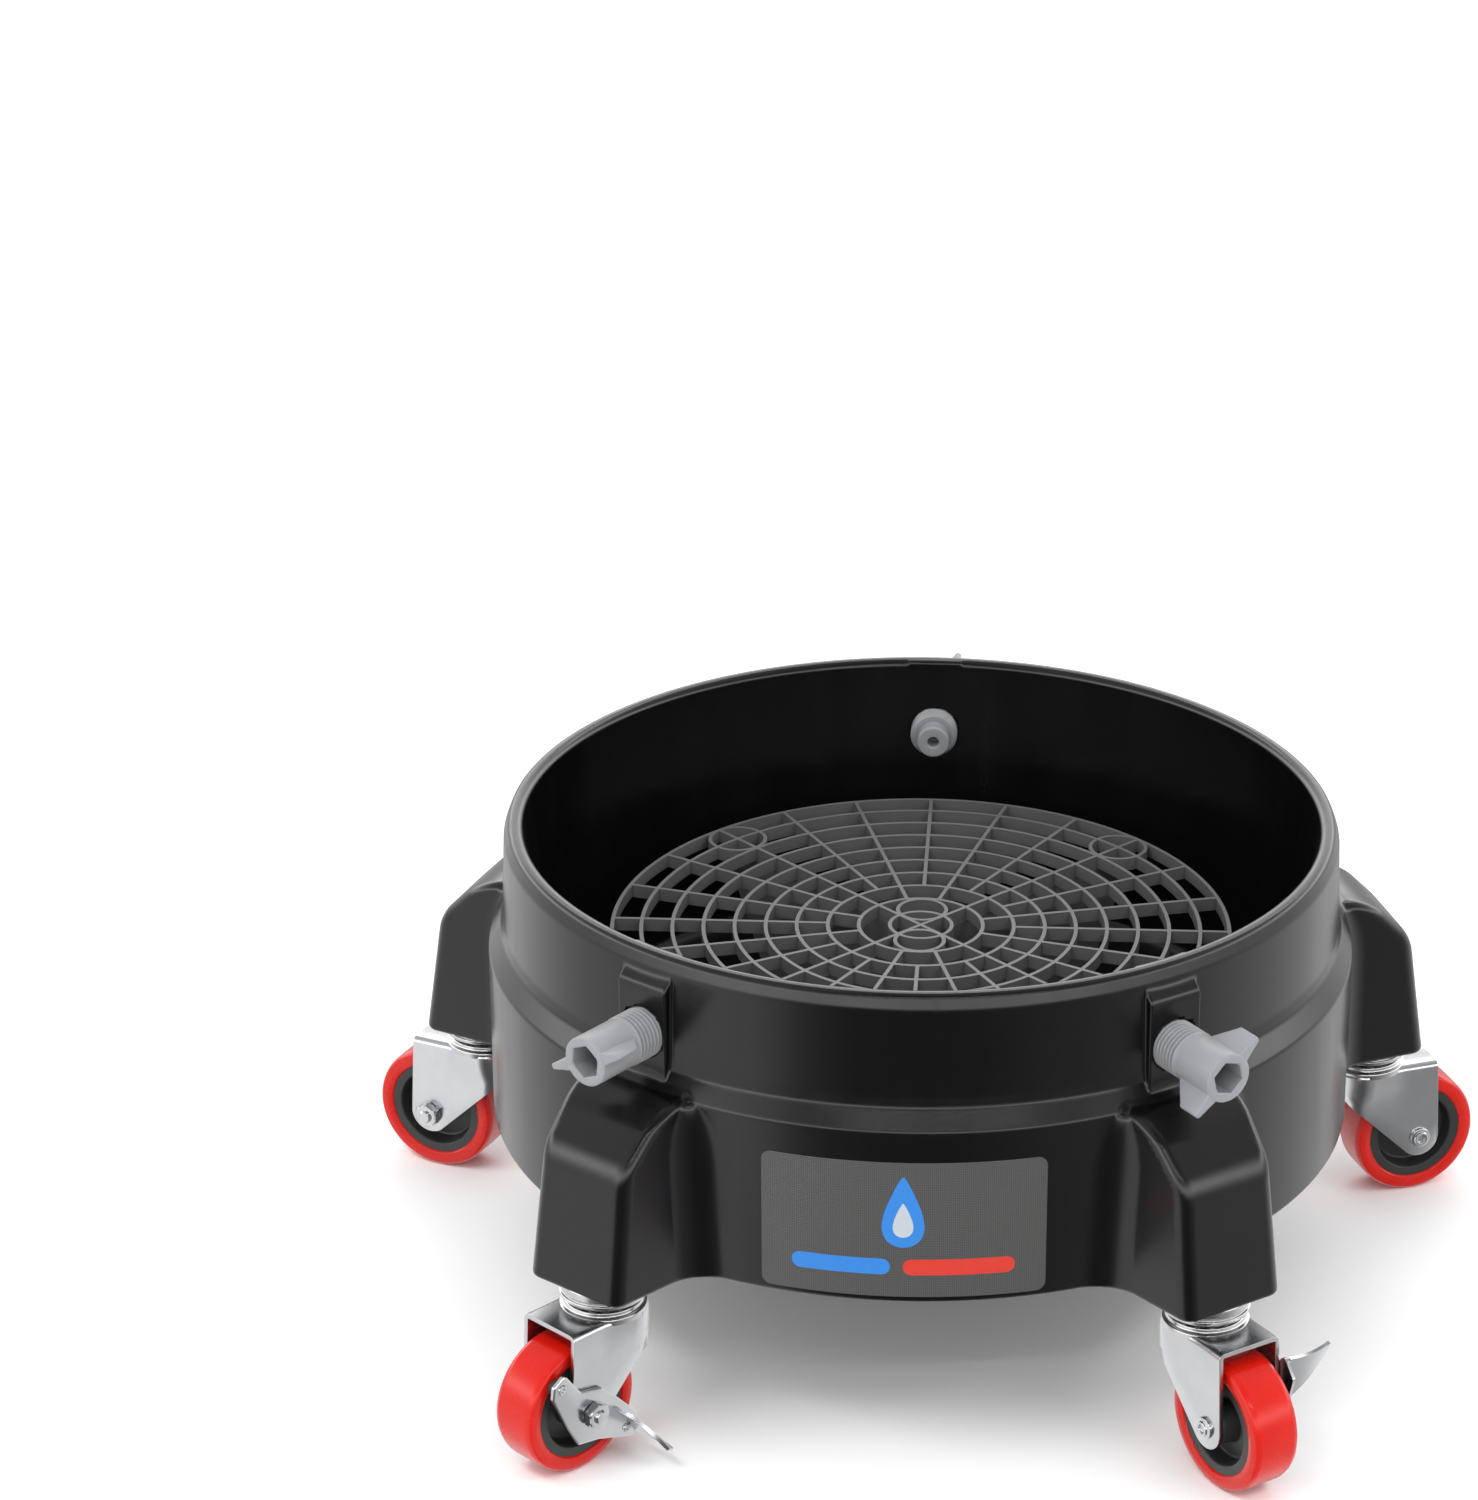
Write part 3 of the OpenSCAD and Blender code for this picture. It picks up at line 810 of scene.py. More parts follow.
def build_fork():
    """The pressed fork in its caster's frame, from one lower edge over the top to the other."""
    t, bend = 2.0, 2.6
    rows_out, rows_in = [], []
    stations = fork_stations()
    path = [(tx, x, z, 1.0) for tx, x, z in stations] + [(tx, x, z, -1.0) for tx, x, z in stations[-2::-1]]
    for tx, x, z_low, side in path:
        h = 0.05
        y = fork_width(tx)
        if tx > -17.0:
            slope = (fork_width(tx + h) - fork_width(tx - h)) / (2 * h)
        else:
            slope = 1e3 if tx <= -17.99 else -tx / max(y, 0.3)
        n = np.array([-slope, 1.0]) / math.hypot(slope, 1.0)
        if tx <= -17.99:
            n, y = np.array([-1.0, 0.0]), 0.0
        spine = max(tx, 0.0)
        skew = (x - tx) / max(FORK_TOP - z_low, 1.0)
        out, inn = [], []

        def at(px, py, z, row):
            row.append((px + skew * (FORK_TOP - z), side * py, z))

        mids = [z_low + (FORK_TOP - bend - z_low) * q for q in (0, 0.3, 0.6, 0.8, 1)]
        for z in mids:
            flare = max(fraction(z, FLARE_ABOVE, FLARE_RISE), fraction(-tx, FLARE_BEHIND, FLARE_RUN))
            low_y = FORK_W / 2 + (y - FORK_W / 2) * flare if y > FORK_W / 2 else y
            at(tx, low_y, z, out)
            at(tx - n[0] * t, low_y - n[1] * t, z, inn)
        for q in (30, 60, 90):
            c, s_ = math.cos(math.radians(q)), math.sin(math.radians(q))
            d = bend * (1 - c)
            at(tx - n[0] * d, y - n[1] * d, FORK_TOP - bend + bend * s_, out)
            d = t + (bend - t) * (1 - c)
            at(tx - n[0] * d, y - n[1] * d, FORK_TOP - bend + (bend - t) * s_, inn)
        out.append((spine, 0.0, FORK_TOP))
        inn.append((spine, 0.0, FORK_TOP - t))
        rows_out.append(out)
        rows_in.append(inn)
    verts = [p for row in rows_out + rows_in for p in row]
    return np.array(verts), sheet_faces(len(rows_out), len(rows_out[0]), (0,))


def welded(ob, dist=0.02):
    bm = bmesh.new()
    bm.from_mesh(ob.data)
    bmesh.ops.remove_doubles(bm, verts=bm.verts, dist=dist * MM)
    bmesh.ops.dissolve_degenerate(bm, edges=bm.edges, dist=dist * MM * 0.5)
    bmesh.ops.recalc_face_normals(bm, faces=bm.faces)
    bm.to_mesh(ob.data)
    bm.free()
    return ob


def race_ring():
    """The lower race pressed up out of the fork's top."""
    z = FORK_TOP
    prof = fillet(
        [
            (17.6, z - 0.6), (17.4, z + 0.1), (16.0, z + 0.7), (15.7, z + 2.3), (14.5, z + 2.5),
            (14.2, z + 1.2), (12.6, z + 0.5), (10.8, z + 1.4), (5.2, z + 1.5), (5.2, z - 2.4),
            (17.6, z - 2.4),
        ],
        [0, 0.6, 0.8, 0.5, 0.5, 0.8, 1.2, 0.6, 0.3, 0, 0], 15,
    )
    return lathe(prof, 72, closed=True)


def stem_cup():
    """The cup over the swivel's balls, with the plain stem above it and the riveted neck below."""
    z = BASE_Z
    prof = fillet(
        [
            (5.0, z + 24), (5.0, z + 0.1), (16.9, z + 0.1), (17.5, z - 3.4), (16.6, z - 4.3),
            (17.6, z - 4.9), (17.6, z - 6.5), (16.4, z - 6.6), (15.4, z - 4.9), (4.5, z - 4.7),
            (4.5, z - 13.4), (7.0, z - 13.4), (6.2, z - 15.0), (0, z - 15.2),
        ],
        [0, 0, 1.2, 0.8, 0.3, 0.5, 0.5, 0.4, 0.8, 0.2, 0.2, 0.3, 0.8, 0], 15,
    )
    prof = np.vstack(([(0, z + 24)], prof))
    prof[-1][0] = 0
    return lathe(prof, 72)


def ball_ring(count=14):
    parts = []
    bm = bmesh.new()
    bmesh.ops.create_icosphere(bm, subdivisions=2, radius=1.9)
    v = np.array([p.co[:] for p in bm.verts])
    f = [tuple(q.index for q in face.verts) for face in bm.faces]
    bm.free()
    for k in range(count):
        a = TAU * k / count
        parts.append((v + np.array([12.5 * math.cos(a), 12.5 * math.sin(a), 68.2]), f))
    return joined(*parts)


def bolt_parts(nut_out):
    """The bolt with its ringed head, along +Y; its thread ends past the nut."""
    half = FORK_W / 2
    thread = half + nut_out + 5.2
    head = fillet(
        [
            (0, -half - 1.3), (1.7, -half - 1.3), (1.9, -half - 2.1), (2.9, -half - 2.3),
            (3.2, -half - 1.5), (3.7, -half - 1.4), (4.6, -half - 1.2), (4.7, -half), (3.0, -half),
            (3.0, thread - 0.8), (2.3, thread), (0, thread),
        ],
        [0, 0.3, 0.3, 0.4, 0.3, 0.3, 0.4, 0, 0, 0.2, 0.2, 0], 20,
    )
    return along_y(lathe(head, 40))


def hex_nut(y0, af=10.0, t=4.0, bore=3.0):
    """A chamfered nut along +Y from y0, with a washer face."""
    ring = 72
    rows = []
    corner = af / 2 / math.cos(math.pi / 6)

    def outline(limit):
        out = []
        for i in range(ring):
            a = TAU * i / ring
            local = (a + math.pi / 6) % (math.pi / 3) - math.pi / 6
            out.append(min(af / 2 / math.cos(local), limit))
        return out

    levels = [
        (bore, 0), (af / 2 - 0.3, 0), (corner, 0.5), (corner, t - 1.0), (corner - 0.45, t - 0.45),
        (af / 2 - 0.1, t - 0.1), (af / 2 - 0.8, t), (bore, t),
    ]
    verts = []
    for limit, h in levels:
        rad = outline(limit)
        rows.append(list(range(len(verts), len(verts) + ring)))
        for i in range(ring):
            a = TAU * i / ring
            verts.append((rad[i] * math.cos(a), rad[i] * math.sin(a), h))
    faces = []
    for lo, hi in zip(rows, rows[1:] + rows[:1]):
        for i in range(ring):
            j = (i + 1) % ring
            faces.append((lo[i], lo[j], hi[j], hi[i]))
    return shifted(along_y((np.array(verts), faces)), y=y0)


def mirrored(half, middle=()):
    """A profile across the wheel from its lower half."""
    return [*half, *middle, *((r, -h) for r, h in reversed(half))]


def wheel_core():
    half = [
        (4.6, -11.8), (7.4, -11.8), (8.0, -10.6), (8.8, -3.4),
        (16.2, -2.6), (17.2, -8.8), (17.7, -9.5), (21.3, -9.5),
    ]
    radii = [0.2, 0.4, 1.0, 1.2, 1.2, 0.4, 0.5, 0]
    return along_y(lathe(fillet(mirrored(half), radii + radii[::-1], 15), 96, closed=True))


def wheel_tread():
    half = [(21.3, -9.6), (22.0, -10.2), (24.2, -TREAD_HALF_W), (27.0, -10.3), (27.95, -8.0)]
    radii = [0, 0.5, 2.5, 1.7, 3.0]
    prof = fillet(mirrored(half, [(28.0, 0.0)]), [*radii, 0, *radii[::-1]], 8)
    return along_y(lathe(prof, 144, closed=True))


ROLLED_EDGE = ((0.0, 0.45), (0.35, 0.12), (0.9, 0.0))


def pressed_plate(outline, y0, thickness, radius=2.0):
    """A sheet pressing in the (x, z) plane from y0 outwards, its outer edge rolled over."""
    pts = fillet(outline, radius, 12)
    area2 = np.sum(pts[:, 0] * np.roll(pts[:, 1], -1) - np.roll(pts[:, 0], -1) * pts[:, 1])
    if area2 < 0:
        pts = pts[::-1]
    nxt, prv = np.roll(pts, -1, axis=0), np.roll(pts, 1, axis=0)
    tangent = nxt - prv
    tangent /= np.linalg.norm(tangent, axis=1)[:, None]
    inward = np.stack((-tangent[:, 1], tangent[:, 0]), axis=1)
    n = len(pts)
    verts = [(p[0], y0, p[1]) for p in pts]
    rows = [list(range(n))]
    for inset, drop in ROLLED_EDGE:
        q = pts + inward * inset
        rows.append(list(range(len(verts), len(verts) + n)))
        verts += [(p[0], y0 + thickness - drop, p[1]) for p in q]
    faces = [tuple(rows[0])]
    for lo, hi in zip(rows, rows[1:]):
        for i in range(n):
            j = (i + 1) % n
            faces.append((lo[i], hi[i], hi[j], lo[j]))
    faces.append(tuple(reversed(rows[-1])))
    return np.array(verts), faces


def dimple(x, y, z, r=1.6, h=0.5):
    """A low pressed ring round a rivet, facing +Y."""
    prof = fillet(
        [
            (0, y + h * 0.5), (r * 0.45, y + h * 0.45), (r * 0.6, y + h * 1.6),
            (r * 1.1, y + h * 1.5), (r * 1.4, y - 0.3),
        ],
        [0, 0.2, 0.2, 0.4, 0], 20, closed=False,
    )
    return shifted(along_y(lathe(prof, 28)), x=x, z=z)


def curved_sheet(rows, thickness):
    """A sheet through rows of points, given a thickness along its own normals."""
    g = np.array(rows, float)
    du = np.gradient(g, axis=0)
    dv = np.gradient(g, axis=1)
    nrm = np.cross(du, dv)
    nrm /= np.linalg.norm(nrm, axis=2)[..., None]
    a, b = g + nrm * thickness / 2, g - nrm * thickness / 2
    n, m = g.shape[:2]
    verts = np.vstack((a.reshape(-1, 3), b.reshape(-1, 3)))
    return verts, sheet_faces(n, m, (0, m - 1))


LEVER = [
    (-22, -20), (-3, -13.4), (8, -11.5), (13.5, -2), (20.5, 14), (19.8, 19.3),
    (14, 23), (6, 12), (-5, 9.5), (-12, 3), (-24, -10),
]


def lever_parts():
    """The brake lever about its axle at no turn: plate, pressed edge, pedal and rivets."""
    y = FORK_W / 2 + LEVER_GAP
    plate = pressed_plate(LEVER, y, 1.7)
    pedal = []
    for i in range(9):
        u = i / 8
        row = []
        for j in range(7):
            v = j / 6
            root = np.array([-24.2 + 13.5 * v, y + 0.9, -17.6 + 16.0 * v - 3.0 * (1 - v) * 0.4])
            tip = np.array([-25.5 + 3.0 * v, y + 20.0 + 0.6 * v, -20.0 + 1.5 * v])
            p = root + (tip - root) * u
            p[2] += 2.2 * math.sin(math.pi * u) * (0.5 + 0.5 * v)
            row.append(p)
        pedal.append(row)
    sheet = curved_sheet(pedal, 1.5)
    return joined(
        plate, sheet, dimple(15.8, y + 1.6, 17.2, 1.7), dimple(-17.5, y + 1.6, -14.2, 1.5)
    )


def shoe_part():
    """The round pad between the lever's lobe and the side of the tread."""
    inner = TREAD_HALF_W + 0.4
    outer = FORK_W / 2 + LEVER_GAP
    prof = fillet(
        [(0, inner), (2.7, inner), (3.0, inner + 0.5), (3.0, outer), (0, outer)], [0, 0.3, 0.3, 0, 0], 20
    )
    return shifted(along_y(lathe(prof, 36)), x=SHOE_AT[0], z=SHOE_AT[1])


def turned_piece(name, part, angle, material, body, replaced, matrix):
    """One finished piece, with its edges kept crisp above this angle if there is one."""
    ob = outward(new_object(name, *part))
    if angle:
        sharp_by_angle(ob, angle)
    return finish_piece(ob, MAT[material], body, replaced, matrix)


def build_casters():
    fork_mesh = build_fork()
    for name in CASTERS:
        place = caster_matrix(name)
        axle = axle_matrix(name)
        body, wheel = name + "_caster", name + "_wheel"
        stack = LEVER_STACK if name in LEVER_TURNS else 0.0

        ob = new_object(name + "_fork_pressing", *fork_mesh)
        welded(ob)
        bevelled(ob, 0.35, 2, 40)
        sharp_by_angle(ob, 32)
        finish_piece(ob, MAT["zinc_plate"], body, [name + "_fork"], place)

        nut = hex_nut(FORK_W / 2 + stack)
        for piece, part, angle, material, rides, slot, node, at in (
            ("_lower_race", race_ring(), 50, "bearing_steel", body, "zinc_plate", None, place),
            ("_upper_cup", stem_cup(), 50, "bearing_steel", "pan", "zinc_plate", "_stem", place),
            ("_bearing_balls", ball_ring(), None, "bearing_steel", body, "bearing_steel", "_balls", place),
            ("_axle_bolt", bolt_parts(stack), 40, "bolt_steel", body, "bolt_steel", "_axle", axle),
            ("_axle_nut", nut, 25, "bolt_steel", body, "bolt_steel", "_nut", axle),
            ("_wheel_core", wheel_core(), 50, "hub_plastic", wheel, "hub_plastic", "_hub", axle),
            ("_wheel_tread", wheel_tread(), 50, "tread", wheel, "tread", "_tread", axle),
        ):
            replaced = [name + node] if node else ()
            turned_piece(name + piece, part, angle, material, rides, replaced, at)

    for name, turn in LEVER_TURNS.items():
        axle = axle_matrix(name) @ Matrix.Rotation(math.radians(turn), 4, "Y")
        for piece, part, slot, node in (
            ("_brake_lever", lever_parts(), "zinc_plate", "_brake"),
            ("_brake_pad", shoe_part(), "brake_rubber", "_brake_shoe"),
        ):
            turned_piece(name + piece, part, 40, slot, name + "_lever", [name + node], axle)


build_casters()


# ---- clamp screws ----

THREAD_R = 10.4
THREAD_DEPTH = 1.7
PITCH = 2.0
COLLAR_END = 21.0
SOCKET_AF = 12.2
PEG_HOLE_END = 54.0
# how far each screw's outer end stands from the middle, and how its wings are turned in degrees
SCREW_ENDS = {"left": 210.4, "right": 211.4, "rear": 214.0}
SCREW_TURNS = {"left": -66.0, "right": -47.0, "rear": 30.0}


def screw_matrix(name):
    """Origin at the screw's outer end, +X outwards along its axis."""
    axis = -Vector(joints[name + "_screw_travel"]["axis"]).normalized()
    z = joints[name + "_screw_turn"]["pos_m"][2]
    end = SCREW_ENDS[name] * MM
    y = Vector((0, 0, 1)).cross(axis)
    m = Matrix((axis, y, Vector((0, 0, 1)))).transposed().to_4x4()
    m.translation = (axis.x * end, axis.y * end, z)
    return m


def along_x(part):
    """A lathe part with +Z turned to -X, so that its base is the screw's outer end."""
    return turned(part, Matrix(((0, 0, -1, 0), (0, 1, 0, 0), (1, 0, 0, 0), (0, 0, 0, 1))))


def threaded_barrel():
    """From the inner end to the outer end face, with the helical thread cut in its inner part."""
    around = 96
    verts, rows = [], []

    def ring(h, radius):
        rows.append(list(range(len(verts), len(verts) + around)))
        for i in range(around):
            a = TAU * i / around
            r = radius(a) if callable(radius) else radius
            verts.append((r * math.cos(a), r * math.sin(a), h))

    def thread(h):
        def radius(a):
            phase = (h / PITCH + a / TAU) % 1.0
            depth = THREAD_DEPTH * (0.5 - 0.5 * math.cos(TAU * phase)) ** 1.3
            fade = fraction(h, COLLAR_END + 0.6, 1.2) * fraction(-h, -58.0, 1.0)
            return THREAD_R - 0.02 - depth * fade - 0.3 * (1 - fraction(h, COLLAR_END, 0.9))
        return radius

    for at, radius in ((58.2, 4.3), (58.2, 9.2), (57.7, 9.7)):
        ring(at, radius)
    h = 57.4
    while h > COLLAR_END:
        ring(h, thread(h))
        h -= 0.25
    for at, radius in ((20.8, 10.1), (10, 10.15), (1.2, 10.2), (0.5, 10.1), (0.15, 9.7), (0.0, 9.1)):
        ring(at, radius)

    def socket(extra):
        def radius(a):
            local = a % (math.pi / 3) - math.pi / 6
            return SOCKET_AF / 2 / math.cos(local) + extra
        return radius

    for at, extra in ((0.0, 0.45), (0.4, 0.0), (25.0, -0.15), (25.2, -2.0)):
        ring(at, socket(extra))
    rows.append([len(verts)])
    verts.append((0, 0, 26.0))
    faces = []
    for lo, hi in zip(rows, rows[1:]):
        for i in range(around):
            j = (i + 1) % around
            if len(hi) == 1:
                faces.append((lo[i], lo[j], hi[0]))
            else:
                faces.append((lo[i], lo[j], hi[j], hi[i]))
    # the blind hole that the tip's peg turns in
    mouth = rows[0]
    ring(PEG_HOLE_END, 4.2)
    bottom = rows[-1]
    centre = len(verts)
    verts.append((0, 0, PEG_HOLE_END))
    for i in range(around):
        j = (i + 1) % around
        faces.append((mouth[i], mouth[j], bottom[j], bottom[i]))
        faces.append((bottom[i], bottom[j], centre))
    return along_x((np.array(verts), faces))


def screw_wing():
    """One wedge wing along +Z, thick at the ring end and at its root, thin at its flat tip."""
    rows = []
    for z, x_in, x_out, half_in, half_out in (
        (6.5, -21.4, -0.5, 2.0, 3.1), (9.4, -20.6, -0.4, 1.9, 2.9), (14.0, -16.2, -0.4, 1.5, 2.0),
        (18.2, -12.0, -0.4, 1.15, 1.35), (19.2, -11.3, -0.8, 0.9, 1.05), (19.5, -10.6, -1.4, 0.5, 0.6),
    ):
        corners = [(x_in, -half_in), (x_out, -half_out), (x_out, half_out), (x_in, half_in)]
        rows.append([(p[0], p[1], z) for p in fillet(corners, min(half_in * 0.6, 0.7), 30)])
    n = len(rows[0])
    verts = [p for r in rows for p in r]
    faces = [tuple(range(n))]
    for k in range(len(rows) - 1):
        for i in range(n):
            j = (i + 1) % n
            faces.append((k * n + i, k * n + j, (k + 1) * n + j, (k + 1) * n + i))
    faces.append(tuple((len(rows) - 1) * n + i for i in range(n)))
    return np.array(verts), faces


def tip_part():
    """The smooth foot that presses on the bucket, with the peg that it turns on."""
    prof = fillet(
        [
            (0, 58.6), (2.5, 58.6), (2.5, 65.5), (2.9, 66.0), (6.7, 66.0), (7.3, 65.2), (7.3, 58.9),
            (6.9, 58.5),
            (4.0, 58.5), (4.0, 54.6), (0, 54.6),
        ],
        [0, 0, 0.2, 0.2, 0.5, 0.4, 0.2, 0.1, 0, 0.2, 0], 20,
    )
    return along_x(lathe(prof, 64))


def build_screws():
    for name in SCREWS:
        place = screw_matrix(name)
        turn = place @ Matrix.Rotation(math.radians(SCREW_TURNS[name]), 4, "X")
        flip = Matrix.Rotation(math.pi, 4, "X")
        wings = joined(screw_wing(), turned(screw_wing(), flip))
        ob = new_object(name + "_screw_barrel", *joined(threaded_barrel(), wings))
        sharp_by_angle(outward(ob), 38)
        slot = "screw_plastic"
        finish_piece(ob, MAT[slot], name + "_screw", [name + "_screw"], turn)
        foot = [name + "_screw_tip"]
        turned_piece(name + "_screw_foot", tip_part(), 40, slot, name + "_tip", foot, place)


build_screws()


# ---- label ----


def curved_panel(name, outline, radius_in, radius_out, material):
    """A flat outline of (along the wall, height) in millimetres, wrapped on the front of the skirt."""
    bm = bmesh.new()
    pts = [bm.verts.new((u, v, 0)) for u, v in outline]
    face = bm.faces.new(pts)
    bmesh.ops.triangulate(bm, faces=[face])
    lo = min(p[0] for p in outline)
    hi = max(p[0] for p in outline)
    cuts = int((hi - lo) / 2.5)
    for k in range(1, cuts + 1):
        x = lo + (hi - lo) * k / (cuts + 1)
        geom = bm.verts[:] + bm.edges[:] + bm.faces[:]
        bmesh.ops.bisect_plane(bm, geom=geom, plane_co=(x, 0, 0), plane_no=(1, 0, 0), dist=1e-5)
    bm.normal_update()
    if bm.faces[:][0].normal.z < 0:
        bmesh.ops.reverse_faces(bm, faces=bm.faces[:])
    top = bm.faces[:]
    got = bmesh.ops.extrude_face_region(bm, geom=top)
    moved = [g for g in got["geom"] if isinstance(g, bmesh.types.BMVert)]
    for v in moved:
        v.co.z = 1.0
    uv = bm.loops.layers.uv.new("weave")
    for f in bm.faces:
        f.smooth = True
        for loop in f.loops:
            loop[uv].uv = (loop.vert.co.x, loop.vert.co.y)
    for v in bm.verts:
        u, h, w = v.co
        r = radius_in + (radius_out - radius_in) * w
        a = -math.pi / 2 + u / SKIRT_R
        v.co = Vector((r * math.cos(a), r * math.sin(a), h)) * MM
    bmesh.ops.recalc_face_normals(bm, faces=bm.faces)
    mesh = bpy.data.meshes.new(name)
    bm.to_mesh(mesh)
    bm.free()
    ob = bpy.data.objects.new(name, mesh)
    scene.collection.objects.link(ob)
    sharp_by_angle(ob, 50)
    ob.data.materials.append(material)
    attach(ob, "pan")
    return ob


def ink_material(name, colour):
    m = Nodes(name)
    fine = m.noise(900, 2, 0.5)
    dark = tuple(c * 0.85 for c in colour[:3]) + (1,)
    m.set(Base_Color=m.mix(fine, dark, colour), Roughness=m.span(fine, 0.3, 0.7, 0.3, 0.42))
    return m.mat


def drop_outline(cx, cy, size):
    """A water drop standing on its round end."""
    out = []
    for k in range(48):
        t = TAU * k / 48
        x = math.sin(t) * (0.62 - 0.38 * math.cos(t)) * 0.95
        y = -math.cos(t)
        out.append((cx - x * size * 0.8, cy - y * size))
    return out


def bar_outline(x0, x1, y0, y1, r):
    return [tuple(p) for p in fillet([(x0, y0), (x1, y0), (x1, y1), (x0, y1)], r, 15)]


def build_label():
    lo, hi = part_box("front_label")
    low, high = lo.z / MM, hi.z / MM
    half = SKIRT_R * math.radians(18) - 0.2
    film = curved_panel(
        "label_film", bar_outline(-half, half, low + 0.2, high, 4.0), SKIRT_R - 0.15, SKIRT_R + 0.3,
        MAT["label_film"],
    )
    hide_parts("front_label")
    mid = low + (high - low) * 0.6
    blue = ink_material("ink_blue", (0.02, 0.2, 0.62, 1))
    red = ink_material("ink_red", (0.62, 0.03, 0.015, 1))
    pale = ink_material("ink_pale", (0.45, 0.5, 0.55, 1))
    r0, r1 = SKIRT_R + 0.25, SKIRT_R + 0.36
    curved_panel("label_drop", drop_outline(0, mid + 2, 15.5), r0, r1, blue)
    curved_panel("label_drop_core", drop_outline(0, mid - 1.5, 7.5), r0, r1 + 0.08, pale)
    y = low + 10.0
    curved_panel("label_bar_blue", bar_outline(-44, -5, y, y + 7.0, 3.4), r0, r1, blue)
    curved_panel("label_bar_red", bar_outline(0, 44, y, y + 7.0, 3.4), r0, r1, red)


build_label()

# ---- remaining CAD nodes ----

for name, node in frame["nodes"].items():
    if node.hide_render or not node.data.materials:
        continue
    for s in range(len(node.data.materials)):
        old = node.data.materials[s]
        key = next((k for k in MAT if old and k in old.name), None)
        if key:
            node.data.materials[s] = MAT[key]


# ---- stage, light and camera ----


def stage():
    bpy.ops.mesh.primitive_plane_add(size=12, location=(0, 0, 0))
    floor = bpy.context.object
    floor.name = "floor"
    m = Nodes("floor_white")
    m.set(Base_Color=grey(0.96), Roughness=0.9)
    m.set(Specular_IOR_Level=0.0)
    floor.data.materials.append(m.mat)
    floor.visible_glossy = False


def area(name, place, target, size, power, glossy=True):
    data = bpy.data.lights.new(name, "AREA")
    data.shape = "RECTANGLE"
    data.size, data.size_y = size
    data.energy = power
    ob = bpy.data.objects.new(name, data)
    ob.location = place
    ob.rotation_euler = (Vector(target) - Vector(place)).to_track_quat("-Z", "Y").to_euler()
    ob.visible_glossy = glossy
    scene.collection.objects.link(ob)


# how bright the room is at each angle in reflections: 0 towards the front, the object's left side first
SURROUND = (
    (0, 0.10), (20, 0.16), (32, 0.42), (48, 1.15), (65, 1.1), (100, 1.0), (128, 1.15), (150, 0.95),
    (180, 0.55), (205, 0.8), (222, 1.1), (246, 1.05), (290, 0.6), (311, 0.34), (325, 0.26), (342, 0.13),
    (360, 0.10),
)
BAND_Z = 0.3
BAND_SPREAD = 0.14
BAND_LEVEL = 3.0
EVEN_LEVEL = 1.14


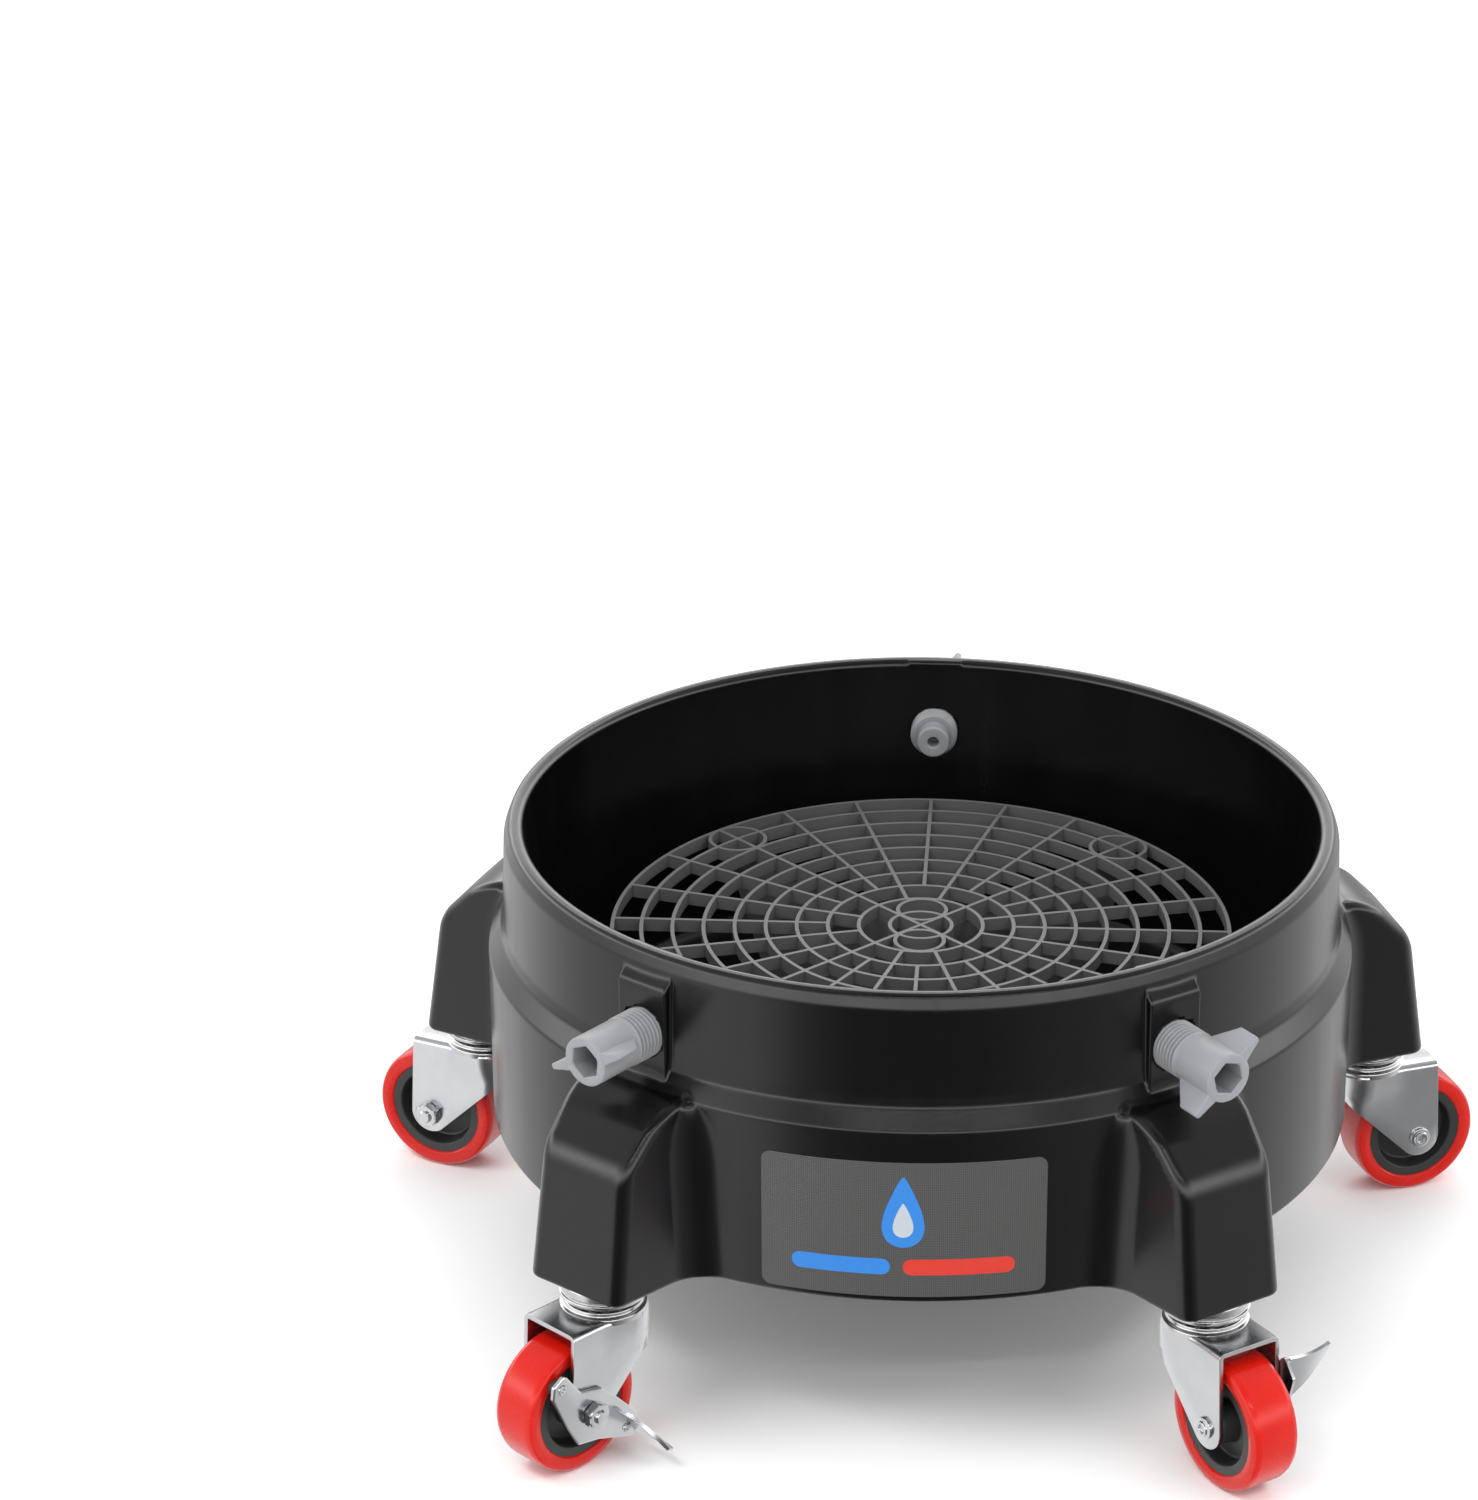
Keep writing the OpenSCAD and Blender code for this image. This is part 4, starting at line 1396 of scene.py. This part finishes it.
def room():
    """A white room, darker towards the front, seen only in reflections; even light for the rest."""
    world = bpy.data.worlds.new("studio")
    scene.world = world
    world.use_nodes = True
    tree = world.node_tree
    back = tree.nodes["Background"]
    geo = tree.nodes.new("ShaderNodeTexCoord")
    split = tree.nodes.new("ShaderNodeSeparateXYZ")
    tree.links.new(geo.outputs["Generated"], split.inputs[0])

    def calc(op, a, b=0.0):
        n = tree.nodes.new("ShaderNodeMath")
        n.operation = op
        for i, v in enumerate((a, b)):
            if isinstance(v, bpy.types.NodeSocket):
                tree.links.new(v, n.inputs[i])
            else:
                n.inputs[i].default_value = v
        return n.outputs[0]

    left, front = (calc("MULTIPLY", split.outputs[axis], -1) for axis in ("X", "Y"))
    turn = calc("ARCTAN2", left, front)
    turn = calc("FRACT", calc("ADD", calc("DIVIDE", turn, TAU), 1.0))
    ramp = tree.nodes.new("ShaderNodeFloatCurve")
    curve = ramp.mapping.curves[0]
    curve.points[0].location = (0, SURROUND[0][1] / 2)
    curve.points[1].location = (1, SURROUND[-1][1] / 2)
    for angle, value in SURROUND[1:-1]:
        curve.points.new(angle / 360, value / 2)
    ramp.mapping.update()
    tree.links.new(turn, ramp.inputs["Value"])
    side = calc("MULTIPLY", ramp.outputs[0], 2.0)
    up = calc("MAXIMUM", split.outputs["Z"], 0.0)
    # a bright band of windows and softboxes above eye level, and a dimmer ceiling
    off = calc("DIVIDE", calc("SUBTRACT", split.outputs["Z"], BAND_Z), BAND_SPREAD)
    bell = calc("EXPONENT", calc("MULTIPLY", calc("MULTIPLY", off, off), -1.0))
    band = calc("MULTIPLY", bell, BAND_LEVEL)
    low = calc("MULTIPLY", side, calc("SUBTRACT", 1.0, calc("MULTIPLY", up, 0.6)))
    level = calc("ADD", calc("ADD", low, band), calc("MULTIPLY", up, 0.12))
    path = tree.nodes.new("ShaderNodeLightPath")
    mix = tree.nodes.new("ShaderNodeMix")
    tree.links.new(path.outputs["Is Glossy Ray"], mix.inputs[0])
    mix.inputs[2].default_value = EVEN_LEVEL
    tree.links.new(level, mix.inputs[3])
    tree.links.new(mix.outputs[0], back.inputs["Strength"])
    back.inputs["Color"].default_value = (1, 1, 1, 1)


def lights():
    area("key", (-0.9, -0.9, 1.9), (0, 0, 0.1), (1.5, 0.35), 15, False)
    area("fill", (1.3, -0.9, 1.7), (0, 0, 0.1), (1.2, 0.3), 8, False)
    area("back", (0.1, 1.7, 1.7), (0, 0, 0.1), (2.2, 0.5), 10)
    area("strip", (0.25, -1.7, 1.55), (0, 0, 0.1), (1.7, 0.07), 4)
    room()


def camera():
    data = bpy.data.cameras.new("camera")
    data.sensor_width = 36
    data.sensor_fit = "AUTO"
    data.lens = 112.76
    data.shift_x = -0.1213
    data.shift_y = 0.1053
    data.clip_start, data.clip_end = 0.05, 30
    ob = bpy.data.objects.new("camera", data)
    scene.collection.objects.link(ob)
    elevation, azimuth, distance = math.radians(25.319), math.radians(1.851), 1.965
    target = Vector((0, 0, 0.161))
    level = math.cos(elevation)
    away = Vector((math.sin(azimuth) * level, -math.cos(azimuth) * level, math.sin(elevation)))
    ob.location = target + distance * away
    look = (-away).to_track_quat("-Z", "Y")
    ob.rotation_mode = "QUATERNION"
    roll = Matrix.Rotation(math.radians(0.514), 4, "Z").to_quaternion()
    ob.rotation_quaternion = look @ roll
    scene.camera = ob


stage()
lights()
camera()
scene.view_settings.view_transform = "Standard"
